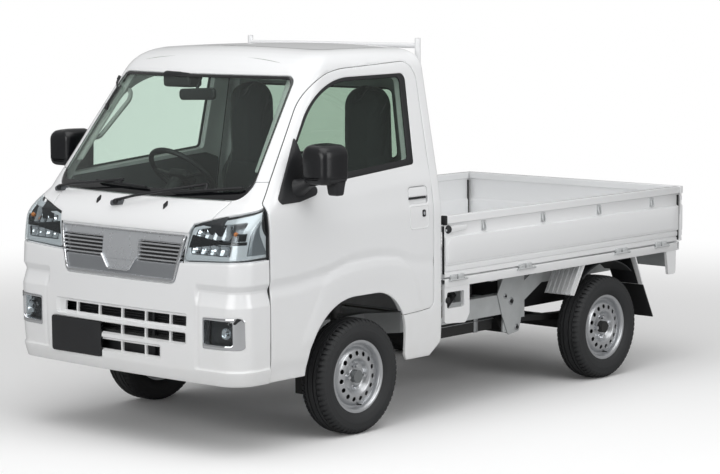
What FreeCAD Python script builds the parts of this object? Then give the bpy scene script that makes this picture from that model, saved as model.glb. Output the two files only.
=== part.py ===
import FreeCAD, Part
import math
import os
import re

import Sketcher
from FreeCAD import Placement, Rotation, Vector

# A kei truck: a cab over the front wheels, a drop-side bed behind it.
# X points to the truck's left, Y to its rear and Z up, in millimetres.
# The origin is on the ground, under the middle of the truck.

doc = FreeCAD.newDocument("kei_truck")
sheet = doc.addObject("Spreadsheet::Sheet", "sizes")

driving_sizes = [
    # alias, value in mm, what it is
    ("overall_length", 3395, "bumper face to tailgate hinge"),
    ("overall_width", 1475, "across the cab sides and the closed gates"),
    ("overall_height", 1780, "ground to the tips of the guard frame"),
    ("wheelbase", 1900, "front axle to rear axle"),
    ("front_overhang", 824.5, "bumper face to front axle"),
    ("track_front", 1310, "between the front wheels' middles"),
    ("track_rear", 1306, "between the rear wheels' middles"),
    ("tyre_radius", 265, "loaded radius, so also the hub height"),
    ("tyre_width", 145, "section width"),
    ("bead_radius", 152.4, "12 inch bead seat"),
    ("rim_lip_radius", 167, "outside of the rim flange"),
    ("rim_width", 108, "over both flanges"),
    ("hub_bore", 30, "radius of the wheel's centre hole"),
    ("running_gap", 0.3, "radial clearance of a pin or spindle"),
    ("kingpin_track", 1120, "between the steering axes"),
    ("door_gap", 5, "between a door and what surrounds it"),
    ("door_front_gap", 7, "ahead of a door's leading edge"),
    ("wall", 40, "cab wall, outer skin to trim"),
    ("front_skin", 12, "bumper, hood and grille"),
    ("panel_gap", 0.5, "between fixed panels"),
    ("glass_inset", 5, "glass face below the cab's outer face"),
    ("glass_thick", 6, "window glass"),
    ("roof_z", 1748, "top of the roof crown"),
    ("cab_bottom", 318, "lower edge of bumper and doors"),
    ("step_bottom", 302, "lower edge of the sill behind the wheel"),
    ("bed_length", 1982.5, "front panel to tailgate hinge"),
    ("cab_bed_gap", 20, "cab back to the bed's front panel"),
    ("bed_floor_top", 660, "load floor height"),
    ("bed_floor_thick", 35, "floor sheet with its ribs"),
    ("front_panel_thick", 30, "fixed panel at the bed's front"),
    ("gate_top", 950, "top of all three gates"),
    ("gate_bottom", 655, "lower edge of the gates"),
    ("gate_thick", 32, "outer face to inner face"),
    ("gate_hinge_height", 643, "hinge pins of all three gates"),
    ("gate_hinge_out", 4.5, "side hinge pins outside the gate face"),
    ("tail_hinge_in", 6.5, "tailgate hinge pins inside the rear end"),
    ("gate_pin_radius", 3.5, "hinge pins of the gates"),
    ("gate_knuckle_radius", 6.5, "hinge barrels of the gates"),
    ("rail_height", 100, "frame side member depth"),
    ("rail_width", 55, "frame side member width"),
    ("rail_outer", 500, "outer face of the rear frame, from the middle"),
    ("rail_front_outer", 400, "outer face of the frame between the wheels"),
    ("spring_width", 50, "leaf width"),
    ("axle_radius", 34, "rear axle tube"),
    ("guard_post_x", 553, "guard frame posts from the middle"),
    ("guard_pipe", 14, "guard frame pipe radius"),
]
for row, (alias, value, note) in enumerate(driving_sizes, start=1):
    sheet.set(f"A{row}", alias)
    sheet.set(f"B{row}", str(value))
    sheet.setAlias(f"B{row}", alias)
    sheet.set(f"C{row}", note)
doc.recompute()
aliases = {alias for alias, value, note in driving_sizes}


def size(alias):
    """A driving size, read back from the sheet."""
    return float(sheet.get(alias))


def bound(expression):
    """The expression with each size's name pointing into the sheet."""
    def point(match):
        word = match.group(0)
        return f"sizes.{word}" if word in aliases else word
    return re.sub(r"[a-z][a-z0-9_]*", point, str(expression))


# ---------------------------------------------------------------- objects

def bind(thing, prop, expression):
    thing.setExpression(prop, bound(expression))


def place(thing, x=0, y=0, z=0):
    for name, expression in (("x", x), ("y", y), ("z", z)):
        bind(thing, f"Placement.Base.{name}", expression)


def box(label, x, y, z):
    """A box between two expressions on each axis."""
    thing = doc.addObject("Part::Box", label)
    for prop, (low, high) in (("Length", x), ("Width", y), ("Height", z)):
        bind(thing, prop, f"({high}) - ({low})")
    place(thing, x[0], y[0], z[0])
    return thing


along = {
    "x": Rotation(Vector(0, 1, 0), 90),
    "y": Rotation(Vector(1, 0, 0), -90),
    "z": Rotation(),
}


def rod(label, axis, radius, length, x, y, z):
    """A cylinder that starts at x, y, z and runs along an axis."""
    thing = doc.addObject("Part::Cylinder", label)
    bind(thing, "Radius", radius)
    bind(thing, "Height", length)
    thing.Placement = Placement(Vector(), along[axis])
    place(thing, x, y, z)
    return thing


def fused(label, things):
    thing = doc.addObject("Part::MultiFuse", label)
    thing.Shapes = things
    return thing


def together(label, things):
    """Like pieces that don't touch, kept as one sub-part."""
    thing = doc.addObject("Part::Compound", label)
    thing.Links = things
    return thing


def cut(label, base, tools):
    thing = doc.addObject("Part::Cut", label)
    thing.Base = base
    thing.Tool = tools[0] if len(tools) == 1 else fused(label + "_cuts", tools)
    return thing


def mirrored(label, source):
    """The same piece on the truck's other side."""
    thing = doc.addObject("Part::Mirroring", label)
    thing.Source = source
    thing.Normal = Vector(1, 0, 0)
    return thing


def shaped(label, shape):
    """A piece whose shape the sheet's values set directly."""
    thing = doc.addObject("Part::Feature", label)
    thing.Shape = shape
    return thing


def plane_of(body, role):
    return next(f for f in body.Origin.OriginFeatures if f.Role == role)


def polygon_sketch(body, role, corners):
    """A closed sketch whose corners are pairs of expressions."""
    sketch = body.newObject("Sketcher::SketchObject", body.Label + "_sketch")
    sketch.AttachmentSupport = [(plane_of(body, role), "")]
    sketch.MapMode = "FlatFace"
    count = len(corners)
    for number in range(count):
        angle = 2 * math.pi * number / count
        following = 2 * math.pi * (number + 1) / count
        sketch.addGeometry(Part.LineSegment(
            Vector(100 * math.cos(angle), 100 * math.sin(angle), 0),
            Vector(100 * math.cos(following), 100 * math.sin(following), 0)))
    for number in range(count):
        sketch.addConstraint(Sketcher.Constraint(
            "Coincident", number, 2, (number + 1) % count, 1))
    flat = {alias: size(alias) for alias in aliases}
    for number, corner in enumerate(corners):
        for kind, expression in zip(("DistanceX", "DistanceY"), corner):
            value = number_of(expression, flat)
            index = sketch.addConstraint(Sketcher.Constraint(
                kind, -1, 1, number, 1, value))
            sketch.setExpression(f"Constraints[{index}]", bound(expression))
    return sketch


def number_of(expression, known):
    """The number that an expression of sizes comes to."""
    total = FreeCAD.Units.Quantity(re.sub(
        r"[a-z][a-z0-9_]*",
        lambda match: f"({known[match.group(0)]})", str(expression)))
    return total.Value


def new_body(label):
    body = doc.addObject("PartDesign::Body", label)
    body.Label = label
    return body


# ---------------------------------------------------------------- outlines

def rounded_wire(corners, lift):
    """A closed wire of lines and arcs. Each corner is (a, b, radius);
    lift turns (a, b) into a point of the wanted plane."""
    count = len(corners)
    starts, ends, middles = [], [], []
    for number, (a, b, radius) in enumerate(corners):
        here = Vector(a, b, 0)
        before = Vector(*corners[number - 1][:2], 0)
        after = Vector(*corners[(number + 1) % count][:2], 0)
        back = (before - here).normalize()
        ahead = (after - here).normalize()
        if radius <= 0:
            starts.append(here)
            ends.append(here)
            middles.append(None)
            continue
        half = back.getAngle(ahead) / 2
        reach = radius / math.tan(half)
        centre = here + (back + ahead).normalize() * (radius / math.sin(half))
        starts.append(here + back * reach)
        ends.append(here + ahead * reach)
        middles.append(centre + (here - centre).normalize() * radius)
    edges = []
    for number in range(count):
        if middles[number] is not None:
            edges.append(Part.Arc(lift(starts[number]), lift(middles[number]),
                                  lift(ends[number])).toShape())
        following = starts[(number + 1) % count]
        if (following - ends[number]).Length > 1e-6:
            edges.append(Part.LineSegment(
                lift(ends[number]), lift(following)).toShape())
    return Part.Wire(edges)


def side_prism(corners, low_x, high_x, grow=0):
    """An outline in side view, (y, z, radius), run across the truck."""
    face = Part.Face(rounded_wire(corners, lambda p: Vector(low_x, p.x, p.y)))
    if grow:
        face = face.makeOffset2D(grow)
    return face.extrude(Vector(high_x - low_x, 0, 0))


def front_prism(corners, low_y, high_y, grow=0):
    """An outline in front view, (x, z, radius), run along the truck."""
    face = Part.Face(rounded_wire(corners, lambda p: Vector(p.x, low_y, p.y)))
    if grow:
        face = face.makeOffset2D(grow)
    return face.extrude(Vector(0, high_y - low_y, 0))


def top_prism(corners, low_z, high_z):
    """An outline in top view, (x, y, radius), run upwards."""
    face = Part.Face(rounded_wire(corners, lambda p: Vector(p.x, p.y, low_z)))
    return face.extrude(Vector(0, 0, high_z - low_z))


def both_sides(corners):
    """A left-hand outline in front view, closed by its own reflection."""
    return corners + [(-x, z, radius) for x, z, radius in reversed(corners)]


# ---------------------------------------------------------------- places

front_end = -size("overall_length") / 2
rear_end = size("overall_length") / 2
half_width = size("overall_width") / 2
front_axle = front_end + size("front_overhang")
bed_front = rear_end - size("bed_length")
cab_back = bed_front - size("cab_bed_gap")
front_axle_at = "(front_overhang - overall_length / 2)"
rear_axle_at = "(front_overhang - overall_length / 2 + wheelbase)"
bed_front_at = "(overall_length / 2 - bed_length)"

# ---------------------------------------------------------------- cab skin

# The cab's plan sections. setback is how far the middle of the front lies
# behind the bumper face, bow is the front's plan radius, corner the radius
# between front and side, and inset the side's distance inside half_width.
cab_sections = [
    # z, setback, bow, corner, inset
    (250, 26, 9000, 110, 16),
    (385, 7, 9000, 110, 3),
    (500, 4, 9000, 105, 0),
    (746, 12, 9000, 95, 0),
    (964, 37, 9000, 90, 0),
    (1104, 120, 2600, 120, 16),
    (1860, 696, 2600, 120, 157),
]
windshield_rise = 1.308
roof_front_radius = 300
roof_side_radius = 105
back_radius = 25


def cab_section(z, setback, bow, corner, inset, offset):
    """One plan section as a closed wire, offset inwards."""
    width = half_width - inset - offset
    front = front_end + setback + offset
    corner = max(corner - offset, 8)
    back = cab_back - offset
    rear_corner = max(back_radius - offset / 4, 5)
    bow_centre = front + bow
    corner_y = bow_centre - math.sqrt((bow - corner) ** 2 - (width - corner) ** 2)
    corner_centre = Vector(width - corner, corner_y, z)
    outward = (corner_centre - Vector(0, bow_centre, z)).normalize()
    touch = Vector(0, bow_centre, z) + outward * bow
    lean = math.atan2(outward.y, outward.x) / 2
    bend = corner_centre + Vector(math.cos(lean), math.sin(lean), 0) * corner
    diagonal = rear_corner * (1 - math.sqrt(0.5))

    def flip(point):
        return Vector(-point.x, point.y, point.z)

    side_front = Vector(width, corner_y, z)
    side_back = Vector(width, back - rear_corner, z)
    back_side = Vector(width - rear_corner, back, z)
    back_bend = Vector(width - diagonal, back - diagonal, z)
    return Part.Wire([
        Part.Arc(flip(touch), Vector(0, front, z), touch).toShape(),
        Part.Arc(touch, bend, side_front).toShape(),
        Part.LineSegment(side_front, side_back).toShape(),
        Part.Arc(side_back, back_bend, back_side).toShape(),
        Part.LineSegment(back_side, flip(back_side)).toShape(),
        Part.Arc(flip(back_side), flip(back_bend), flip(side_back)).toShape(),
        Part.LineSegment(flip(side_back), flip(side_front)).toShape(),
        Part.Arc(flip(side_front), flip(bend), flip(touch)).toShape(),
    ])


def cab_solid(offset):
    """The cab as a solid block whose faces lie offset inside its skin."""
    sections = [cab_section(*row, offset) for row in cab_sections]
    block = Part.makeLoft(sections, True, True)
    roof = size("roof_z") - offset
    line_front = -1800 + offset
    line_z = 825 - offset * 0.3
    meet = line_front + (roof - line_z) / windshield_rise
    profile = side_prism([
        (line_front, 200, 0), (line_front, line_z, 0),
        (meet, roof, roof_front_radius),
        (cab_back + 12 - offset, roof, 60 - offset / 2),
        (cab_back + 12 - offset, 200, 0),
    ], -900, 900)
    lean = 0.1865
    roof_edge = half_width - 118 - offset - (roof - 22 - 1650) * lean + 10
    shoulder = roof_edge + (roof - 22 - 900) * lean
    crown = front_prism(both_sides([
        (shoulder, 200, 0), (shoulder, 900, 0),
        (roof_edge, roof - 22, roof_side_radius - offset / 2),
        (0.01, roof, 0)]), -1900, 300)
    return block.common(profile.common(crown))


outer_cab = cab_solid(0)
wall_shell = outer_cab.cut(cab_solid(size("wall")))
skin_shell = outer_cab.cut(cab_solid(size("front_skin")))
glass_shell = cab_solid(size("glass_inset")).cut(
    cab_solid(size("glass_inset") + size("glass_thick")))

# Outlines in side view (y, z, radius). The hinge side of the door is its
# leading edge; below the belt the door reaches down ahead of the wheel.
door_lead = -1472
door_trail = cab_back - 67
door_outline = [
    (door_lead, 200, 0), (door_lead, 1078, 40), (-1420, 1150, 60),
    (-1384, 1203, 90), (-937, 1668, 110), (door_trail, 1684, 95),
    (door_trail, 528, 45), (front_axle + 120, 506, 0),
    (front_axle + 120, 200, 0),
]
arch_outline = [
    (front_axle - 367, 100, 0), (front_axle - 367, 640, 328),
    (front_axle + 298, 640, 205), (front_axle + 298, 100, 0),
]
window_outline = [
    (-1262, 1186, 25), (-1000, 1609, 70), (-468, 1622, 28), (-480, 1208, 22),
]
front_zone_outline = [
    (-2000, 100, 0), (door_lead, 100, 0), (door_lead, 1082, 40),
    (door_lead + 15.7, 1104, 0), (-2000, 1104, 0),
]
# Outlines in front view (x, z, radius).
flank = half_width
windshield_outline = both_sides([
    (flank - 101.5, 1108, 70), (flank - 177.5, 1634, 45)])
rear_window_outline = both_sides([
    (flank - 237.5, 1190, 45), (flank - 282.5, 1560, 45)])
hood_half = [(flank - 317.5, 964, 0), (flank - 305.5, 1006, 0),
             (flank - 212.5, 1029, 0), (flank - 152.5, 1200, 0)]
hood_outline = hood_half + [(-x, z, 0) for x, z, radius in reversed(hood_half)]
lamp_outline = [(flank - 309.5, 1006, 12), (flank + 60, 1095, 0),
                (flank + 60, 863, 0), (flank - 341.5, 842, 12)]
grille_outline = both_sides([(flank - 320.5, 964, 6), (flank - 379.5, 744, 28)])
fog_outline = [(flank - 206.5, 605, 8), (flank - 54.5, 605, 8),
               (flank - 54.5, 487, 8), (flank - 206.5, 487, 8)]

front_zone = side_prism(front_zone_outline, -900, 900)
windshield_hole = front_prism(windshield_outline, -1800, -850)
rear_window_hole = front_prism(rear_window_outline, -500, -200)


def flipped(shape):
    return shape.mirror(Vector(), Vector(1, 0, 0))


def wheel_arch(grow=0):
    return side_prism(arch_outline, 380, 950, grow)


# ---------------------------------------------------------------- doors

pan_top = 496
hinge_x = half_width - 13.5
hinge_y = door_lead + 52
hinge_heights = (560, 930)
hinge_leaf_half = 10
hinge_pin_radius = 4
hinge_reach = 69
post_x = hinge_x - hinge_reach
post_thick = 45


def door_shape():
    """The left door: one thick leaf, its window cut, hollowed for hinges."""
    gap = size("door_gap") / 2
    front_gap = size("door_front_gap")
    leaf = wall_shell.common(side_prism(door_outline, 300, 950, -gap))
    leaf = leaf.cut(Part.makeBox(400, 400, 2000, Vector(
        450, door_lead + front_gap - 400, 0)))
    leaf = leaf.cut(wheel_arch()).cut(side_prism(window_outline, 300, 950))
    leaf = leaf.cut(Part.makeBox(900, 1500, 300, Vector(
        300, -1600, size("cab_bottom") - 300)))
    swing = door_trail - gap - hinge_y - 2.5
    leaf = leaf.common(Part.makeCylinder(swing, 2000, Vector(
        hinge_x, hinge_y, 0)))
    bore = hinge_pin_radius + size("running_gap")
    for height in hinge_heights:
        leaf = leaf.cut(Part.makeBox(
            hinge_reach + 22, hinge_y + 9 - door_lead, 2 * hinge_leaf_half + 10,
            Vector(post_x - 15, door_lead, height - hinge_leaf_half - 5)))
        leaf = leaf.cut(Part.makeCylinder(
            bore, 80, Vector(hinge_x, hinge_y, height - 40)))
    return leaf


def hinge_shape():
    """The fixed half of the left door's hinges: leaves with their pins."""
    pieces = []
    for height in hinge_heights:
        leaf = Part.makeBox(hinge_reach, 9, 2 * hinge_leaf_half, Vector(
            post_x, hinge_y - 4.5, height - hinge_leaf_half))
        eye = Part.makeCylinder(4.5, 2 * hinge_leaf_half, Vector(
            hinge_x, hinge_y, height - hinge_leaf_half))
        pin = Part.makeCylinder(hinge_pin_radius, 70, Vector(
            hinge_x, hinge_y, height - 35))
        pieces.append(leaf.fuse([eye, pin]))
    return pieces


def hinge_post_shape():
    """The post inside the front corner that carries the door hinges."""
    return Part.makeBox(post_thick, 195, 544, Vector(
        post_x - post_thick, hinge_y - 160, pan_top))


door_left = shaped("door_left", door_shape())
door_right = mirrored("door_right", door_left)
glass_left = shaped("door_glass_left", glass_shell.common(side_prism(
    window_outline, 300, 950, -size("running_gap"))))
glass_right = mirrored("door_glass_right", glass_left)

# ---------------------------------------------------------------- cab frame


def cab_frame_shape(stock):
    """Pillars, roof, back panel and sills, as one welded shell."""
    gap = size("door_gap") / 2
    frame = stock.cut(front_zone)
    openings = [windshield_hole, rear_window_hole]
    for turn in (lambda s: s, flipped):
        openings.append(turn(side_prism(door_outline, 300, 950, gap)))
        openings.append(turn(wheel_arch()))
    frame = frame.cut(openings[0].multiFuse(openings[1:]))
    # nothing below the step, and the back panel stops higher than the sills
    frame = frame.cut(Part.makeBox(1800, 2600, 400, Vector(
        -900, -2000, size("step_bottom") - 400)))
    frame = frame.cut(Part.makeBox(2 * flank - 185, 200, 488, Vector(
        92.5 - flank, cab_back - 150, 0)))
    slope = [(cab_back - 92, size("step_bottom"), 0),
             (cab_back + 50, size("step_bottom") + 125, 0),
             (cab_back + 50, 100, 0), (cab_back - 92, 100, 0)]
    frame = frame.cut(side_prism(slope, -900, 900))
    ahead = Part.makeBox(1800, 800, 300, Vector(
        -900, front_axle - 500, 100))
    return frame.cut(ahead)


# The shell is kept as its real panels: roof, back and windshield pillars.
header_z = 1640
pillar_y = cab_back - 300
cab_shell = cab_frame_shape(wall_shell)
over = Part.makeBox(2000, 2000, 400, Vector(-1000, -1900, header_z))
behind = Part.makeBox(2000, 500, header_z, Vector(-1000, pillar_y, 0))
left_half = Part.makeBox(1000, 3000, 2500, Vector(0, -2000, 0))
roof_panel = shaped("roof_panel", cab_frame_shape(wall_shell.common(over)))
back_panel = shaped("back_panel", cab_shell.cut(over).common(behind))
pillar_left = shaped("pillar_left", cab_shell.cut(
    over.fuse(behind)).common(left_half))
pillars = together("cab_pillars", [
    pillar_left, mirrored("pillar_right", pillar_left)])
windshield = shaped("windshield", glass_shell.common(front_prism(
    windshield_outline, -1800, -850, -size("running_gap"))))
rear_window = shaped("rear_window", glass_shell.common(front_prism(
    rear_window_outline, -500, -200, -size("running_gap"))))
cab_glass = together("cab_glass", [windshield, rear_window])
inner_glass = cab_solid(size("wall"))
hinges = together("door_hinges", [
    shaped(f"hinge_{number}", piece) for number, piece in enumerate(
        hinge_shape() + [flipped(piece) for piece in hinge_shape()])])

# ---------------------------------------------------------------- cab front

seam = size("panel_gap") / 2
skin_front = skin_shell.common(front_zone)
hood_prism = front_prism(hood_outline, -1900, -1300)
lamp_prism = front_prism(lamp_outline, -1900, -1400)
grille_prism = front_prism(grille_outline, -1900, -1500)

hood = shaped("hood_panel", skin_front.common(
    front_prism(hood_outline, -1900, -1300, -seam)).cut([
        lamp_prism, flipped(lamp_prism)]))
grille = shaped("grille", skin_front.common(
    front_prism(grille_outline, -1900, -1500, -seam)))
lamp_depth = size("wall") - 2
lamp_shell = outer_cab.cut(cab_solid(lamp_depth)).common(front_zone)
lamp_left = shaped("headlamp_left", lamp_shell.common(
    front_prism(lamp_outline, -1900, -1400, -seam)))
headlamps = together("headlamps", [
    lamp_left, mirrored("headlamp_right", lamp_left)])

# The intake under the grille: three rows of cells between upright bars.
intake_bars = [-425, -290, -136, 17, 171, 325, 425]
intake_rows = [
    # low z, high z, first bar, last bar
    (554, 606, 0, 6),
    (489, 540, 0, 6),
    (412, 457, 1, 5),
]
bar_half = 4


def bumper_shape():
    """The bumper cover, below hood, grille and lamps."""
    lower = skin_front.cut(hood_prism.multiFuse([
        lamp_prism, flipped(lamp_prism), grille_prism,
        Part.makeBox(2000, 1000, 600, Vector(-1000, -2000, 962))]))
    lower = lower.cut(Part.makeBox(2000, 1000, 400, Vector(
        -1000, -2000, size("cab_bottom") - 400)))
    tools = []
    for low, high, first, last in intake_rows:
        for number in range(first, last):
            left = intake_bars[number] + bar_half
            right = intake_bars[number + 1] - bar_half
            tools.append(Part.makeBox(right - left, 200, high - low, Vector(
                left, front_end - 20, low)))
    fog = front_prism(fog_outline, -1800, -1500)
    return lower.cut(tools[0].multiFuse(tools[1:] + [fog, flipped(fog)]))


front_bumper = shaped("front_bumper", bumper_shape())
fender_block = skin_front.common(Part.makeBox(2000, 1000, 400, Vector(
    -1000, -2000, 962))).cut(hood_prism.multiFuse([
        lamp_prism, flipped(lamp_prism), grille_prism]))
fenders = together("front_fenders", [
    shaped(f"fender_{number}", solid) for number, solid in enumerate(
        s for s in fender_block.Solids if s.Volume > 5000)])
fog_left = shaped("fog_left", lamp_shell.common(
    front_prism(fog_outline, -1800, -1500, -seam)))
fog_lamps = together("fog_lamps", [fog_left, mirrored("fog_right", fog_left)])


def front_frame_shape():
    """The structure behind the front panels, with the door hinge posts."""
    inner = cab_solid(size("front_skin") + seam).cut(inner_glass).common(
        front_zone)
    inner = inner.cut(Part.makeBox(2000, 1000, 400, Vector(
        -1000, -2000, size("cab_bottom") + 20 - 400)))
    inner = inner.fuse([hinge_post_shape(), flipped(hinge_post_shape())])
    fog = front_prism(fog_outline, -1800, -1500, seam)
    lamp = front_prism(lamp_outline, -1900, -1400, seam)
    return inner.cut([
        Part.makeBox(850, 400, 210, Vector(-425, front_end, 403)),
        fog, flipped(fog), lamp, flipped(lamp)])


front_frame = shaped("front_frame", front_frame_shape())
radiator = box("radiator", (-330, 330), (-1632, -1592), (388, 480))

# ---------------------------------------------------------------- interior

pan_thick = 16
deck_top = 700
deck_thick = 20
riser_y = front_axle - 389
floor_half = half_width - 77.5


def cab_floor_shape():
    """Footwell pan, riser and the deck that the seats stand on."""
    pan = Part.makeBox(2 * floor_half, 450, pan_thick, Vector(
        -floor_half, riser_y - 438, pan_top - pan_thick))
    riser = Part.makeBox(2 * floor_half, 12, deck_top - pan_top + pan_thick,
                         Vector(-floor_half, riser_y, pan_top - pan_thick))
    deck = Part.makeBox(2 * floor_half, cab_back - riser_y, deck_thick, Vector(
        -floor_half, riser_y, deck_top - deck_thick))
    floor = pan.fuse([riser, deck]).common(inner_glass)
    return floor.cut(front_frame.Shape)


cab_floor = shaped("cab_floor", cab_floor_shape())

dash_outline = [
    (-1640, 1050, 0), (-1470, 1092, 40), (-1290, 1086, 40),
    (-1232, 1040, 25), (-1262, 860, 30), (-1330, 770, 30), (-1450, 770, 0),
    (-1640, 900, 0),
]
dashboard = shaped("dashboard", side_prism(
    dash_outline, post_thick - post_x, post_x - post_thick).common(inner_glass).cut(
        front_frame.Shape))

# The steering wheel's axis leans back from the column's foot.
column_x = -350
column_lean = 45
wheel_centre = Vector(column_x, -948, 1136)
steering_rim = 172
steering_grip = 13


def on_column(shape):
    """A shape made about Z at the origin, set on the steering axis."""
    shape.Placement = Placement(wheel_centre, Rotation(
        Vector(1, 0, 0), -column_lean)).multiply(shape.Placement)
    return shape


def steering_wheel_shape():
    rim = Part.makeTorus(steering_rim, steering_grip)
    hub = Part.makeCylinder(48, 40, Vector(0, 0, -40))
    shaft = Part.makeCylinder(8, 110, Vector(0, 0, -150))
    spokes = []
    for turn in (200, 270, 340):
        spoke = Part.makeBox(steering_rim - 40, 34, 12, Vector(35, -17, -17))
        spoke.rotate(Vector(), Vector(0, 0, 1), turn)
        spokes.append(spoke)
    return on_column(rim.fuse([hub, shaft] + spokes))


def column_shape():
    tube = Part.makeCylinder(34, 420, Vector(0, 0, -465))
    bore = Part.makeCylinder(8 + size("running_gap"), 120, Vector(0, 0, -160))
    return on_column(tube.cut(bore)).cut(dashboard.Shape)


steering_wheel = shaped("steering_wheel", steering_wheel_shape())
column = shaped("steering_column", sorted(
    column_shape().Solids, key=lambda s: -s.Volume)[0])

seat_x = 350
cushion = shaped("cushion_left", side_prism([
    (-960, 700, 10), (-975, 800, 40), (-520, 806, 20), (-500, 700, 10)],
    seat_x - 235, seat_x + 235))
cushions = together("seat_cushions", [
    cushion, mirrored("cushion_right", cushion)])
backrest = shaped("backrest_left", side_prism([
    (-500, 700, 10), (-520, 806, 5), (-478, 1380, 35), (-352, 1392, 35),
    (-380, 700, 10)], seat_x - 228, seat_x + 228).fuse([
        Part.makeCylinder(6, 60, Vector(seat_x - 60, -418, 1385)),
        Part.makeCylinder(6, 60, Vector(seat_x + 60, -418, 1385)),
        side_prism([(-470, 1425, 30), (-462, 1570, 30), (-372, 1570, 30),
                    (-380, 1425, 30)], seat_x - 130, seat_x + 130)]))
backrests = together("seat_backrests", [
    backrest, mirrored("backrest_right", backrest)])

# ---------------------------------------------------------------- frame

rail_low = 380
rail_kick = 128
rail_outer = size("rail_outer")
rail_front = size("rail_front_outer")
rail_width = size("rail_width")
rail_height = size("rail_height")
rear_axle = front_axle + size("wheelbase")
jog_start = front_axle + 400
jog_end = front_axle + 545
kick_start = rear_axle - 507
kick_end = rear_axle - 267
rail_end = rear_end - 97.5
rail_start = front_end + 100


def rail_shape():
    """The left side member: narrow between the wheels, kicked up behind."""
    plan = top_prism([
        (rail_front - rail_width, rail_start, 0),
        (rail_front - rail_width, jog_start, 0),
        (rail_outer - rail_width, jog_end, 0),
        (rail_outer - rail_width, rail_end, 0), (rail_outer, rail_end, 0),
        (rail_outer, jog_end - 15, 0), (rail_front, jog_start - 15, 0),
        (rail_front, rail_start, 0)], 200, 800)
    bottom = [(rail_start, rail_low), (kick_start, rail_low),
              (kick_end, rail_low + rail_kick), (rail_end, rail_low + rail_kick)]
    top = [(y, z + rail_height) for y, z in bottom]
    side = side_prism([(y, z, 0) for y, z in bottom + top[::-1]], 0, 900)
    return plan.common(side)


def rail_lengths():
    """The side member, welded up from the lengths between its bends."""
    whole = rail_shape()
    bends = [rail_start, jog_start - 15, jog_start, jog_end - 15, jog_end,
             kick_start, kick_end, rail_end]
    return [whole.common(Part.makeBox(1000, end - start, 1000, Vector(
        0, start, 0))) for start, end in zip(bends, bends[1:])]


rail_left = [shaped(f"rail_left_{number}", piece)
             for number, piece in enumerate(rail_lengths())]
frame_rails = together("frame_rails", rail_left + [
    mirrored(f"rail_right_{number}", piece)
    for number, piece in enumerate(rail_left)])

# Crossmembers between the side members, and bearers from them to the bed.
crossmember_rows = [
    # y from the front axle, half length, low z
    (-640, rail_front - rail_width, 400),
    (-275, rail_front - rail_width, 400),
    (580, rail_outer - rail_width, 400),
    (980, rail_outer - rail_width, 400),
    (1330, rail_outer - rail_width, 395),
    (1740, rail_outer - rail_width, 528),
    (2180, rail_outer - rail_width, 528),
]
cross_bars = []
for number, (offset, half, low) in enumerate(crossmember_rows):
    cross_bars.append(box(
        f"cross_{number}", (-half, half),
        (f"{front_axle_at} + {offset - 25}", f"{front_axle_at} + {offset + 25}"),
        (low, low + 60)))
floor_bottom = "bed_floor_top - bed_floor_thick"
bearer_low = rail_low + rail_kick + rail_height
bearer_rows = [
    # y from the bed's front, low z, whether it stands on risers
    (35, 595, True), (420, 595, True), (780, 595, True),
    (rear_axle - 202 - bed_front, bearer_low, False),
    (1480, bearer_low, False), (1790, bearer_low, False),
]
bearer_parts = []
for number, (offset, low, risen) in enumerate(bearer_rows):
    ends = (f"{bed_front_at} + {offset - 25}", f"{bed_front_at} + {offset + 25}")
    bearer_parts.append(box(
        f"bearer_{number}", ("47.5 - overall_width / 2", "overall_width / 2 - 47.5"),
        ends, (low, floor_bottom)))
    for side in (-1, 1) if risen else ():
        near = f"{side} * (rail_outer - rail_width)"
        far = f"{side} * rail_outer"
        bearer_parts.append(box(
            f"riser_{number}_{side + 1}",
            (far, near) if side < 0 else (near, far), ends,
            (f"{rail_low} + rail_height", low)))
bearers = together("bed_bearers", bearer_parts)

# ---------------------------------------------------------------- bed

floor_edge = "(overall_width / 2 - gate_thick - door_gap)"
floor_lip = "(overall_width / 2 - 9.5)"
tail_outer = "(overall_length / 2 - tail_hinge_in - gate_hinge_out)"
panel_back = f"{bed_front_at} + front_panel_thick"
floor_plate = box(
    "floor_plate", (f"-{floor_edge}", floor_edge),
    (panel_back, f"{tail_outer} - gate_thick - door_gap"),
    (floor_bottom, "bed_floor_top"))
floor_skirt = box(
    "floor_skirt", (f"-{floor_lip}", floor_lip),
    (bed_front_at, f"{tail_outer} - 9"), (floor_bottom, "gate_bottom - 7"))
bed_floor = fused("bed_floor", [floor_plate, floor_skirt])
bed_front_panel = box(
    "bed_front_panel", (f"-{floor_edge}", floor_edge),
    (bed_front_at, panel_back), ("gate_bottom - 7", "gate_top"))

side_hinge_rows = [
    # middle of the hinge from the bed's front, barrel length
    (89, 100), (613, 110), (1420, 100), (1778, 96),
]
tail_hinge_rows = [(-620, 90), (-230, 90), (230, 90), (620, 90)]
hinge_z = "gate_hinge_height"
side_pin = "(overall_width / 2 + gate_hinge_out)"
tail_pin = "(overall_length / 2 - tail_hinge_in)"
lug_thick = 8
lug_gap = 5


def side_gate():
    """The left gate with its hinge barrels."""
    leaf = box("side_leaf", ("overall_width / 2 - gate_thick", "overall_width / 2"),
               (bed_front_at, f"{tail_outer} - gate_thick - door_gap"),
               ("gate_bottom", "gate_top"))
    pieces = [leaf]
    bores = []
    for number, (middle, length) in enumerate(side_hinge_rows):
        start = f"{bed_front_at} + {middle - length / 2}"
        pieces.append(rod(f"side_barrel_{number}", "y", "gate_knuckle_radius",
                          length, side_pin, start, hinge_z))
        pieces.append(box(
            f"side_tab_{number}", (f"{side_pin} - gate_knuckle_radius", side_pin),
            (start, f"{bed_front_at} + {middle + length / 2}"),
            (hinge_z, "gate_bottom + 15")))
        bores.append(rod(f"side_bore_{number}", "y",
                         "gate_pin_radius + running_gap", length + 20, side_pin,
                         f"{bed_front_at} + {middle - length / 2 - 10}", hinge_z))
    return cut("gate_left", fused("side_gate_body", pieces), bores)


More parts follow.
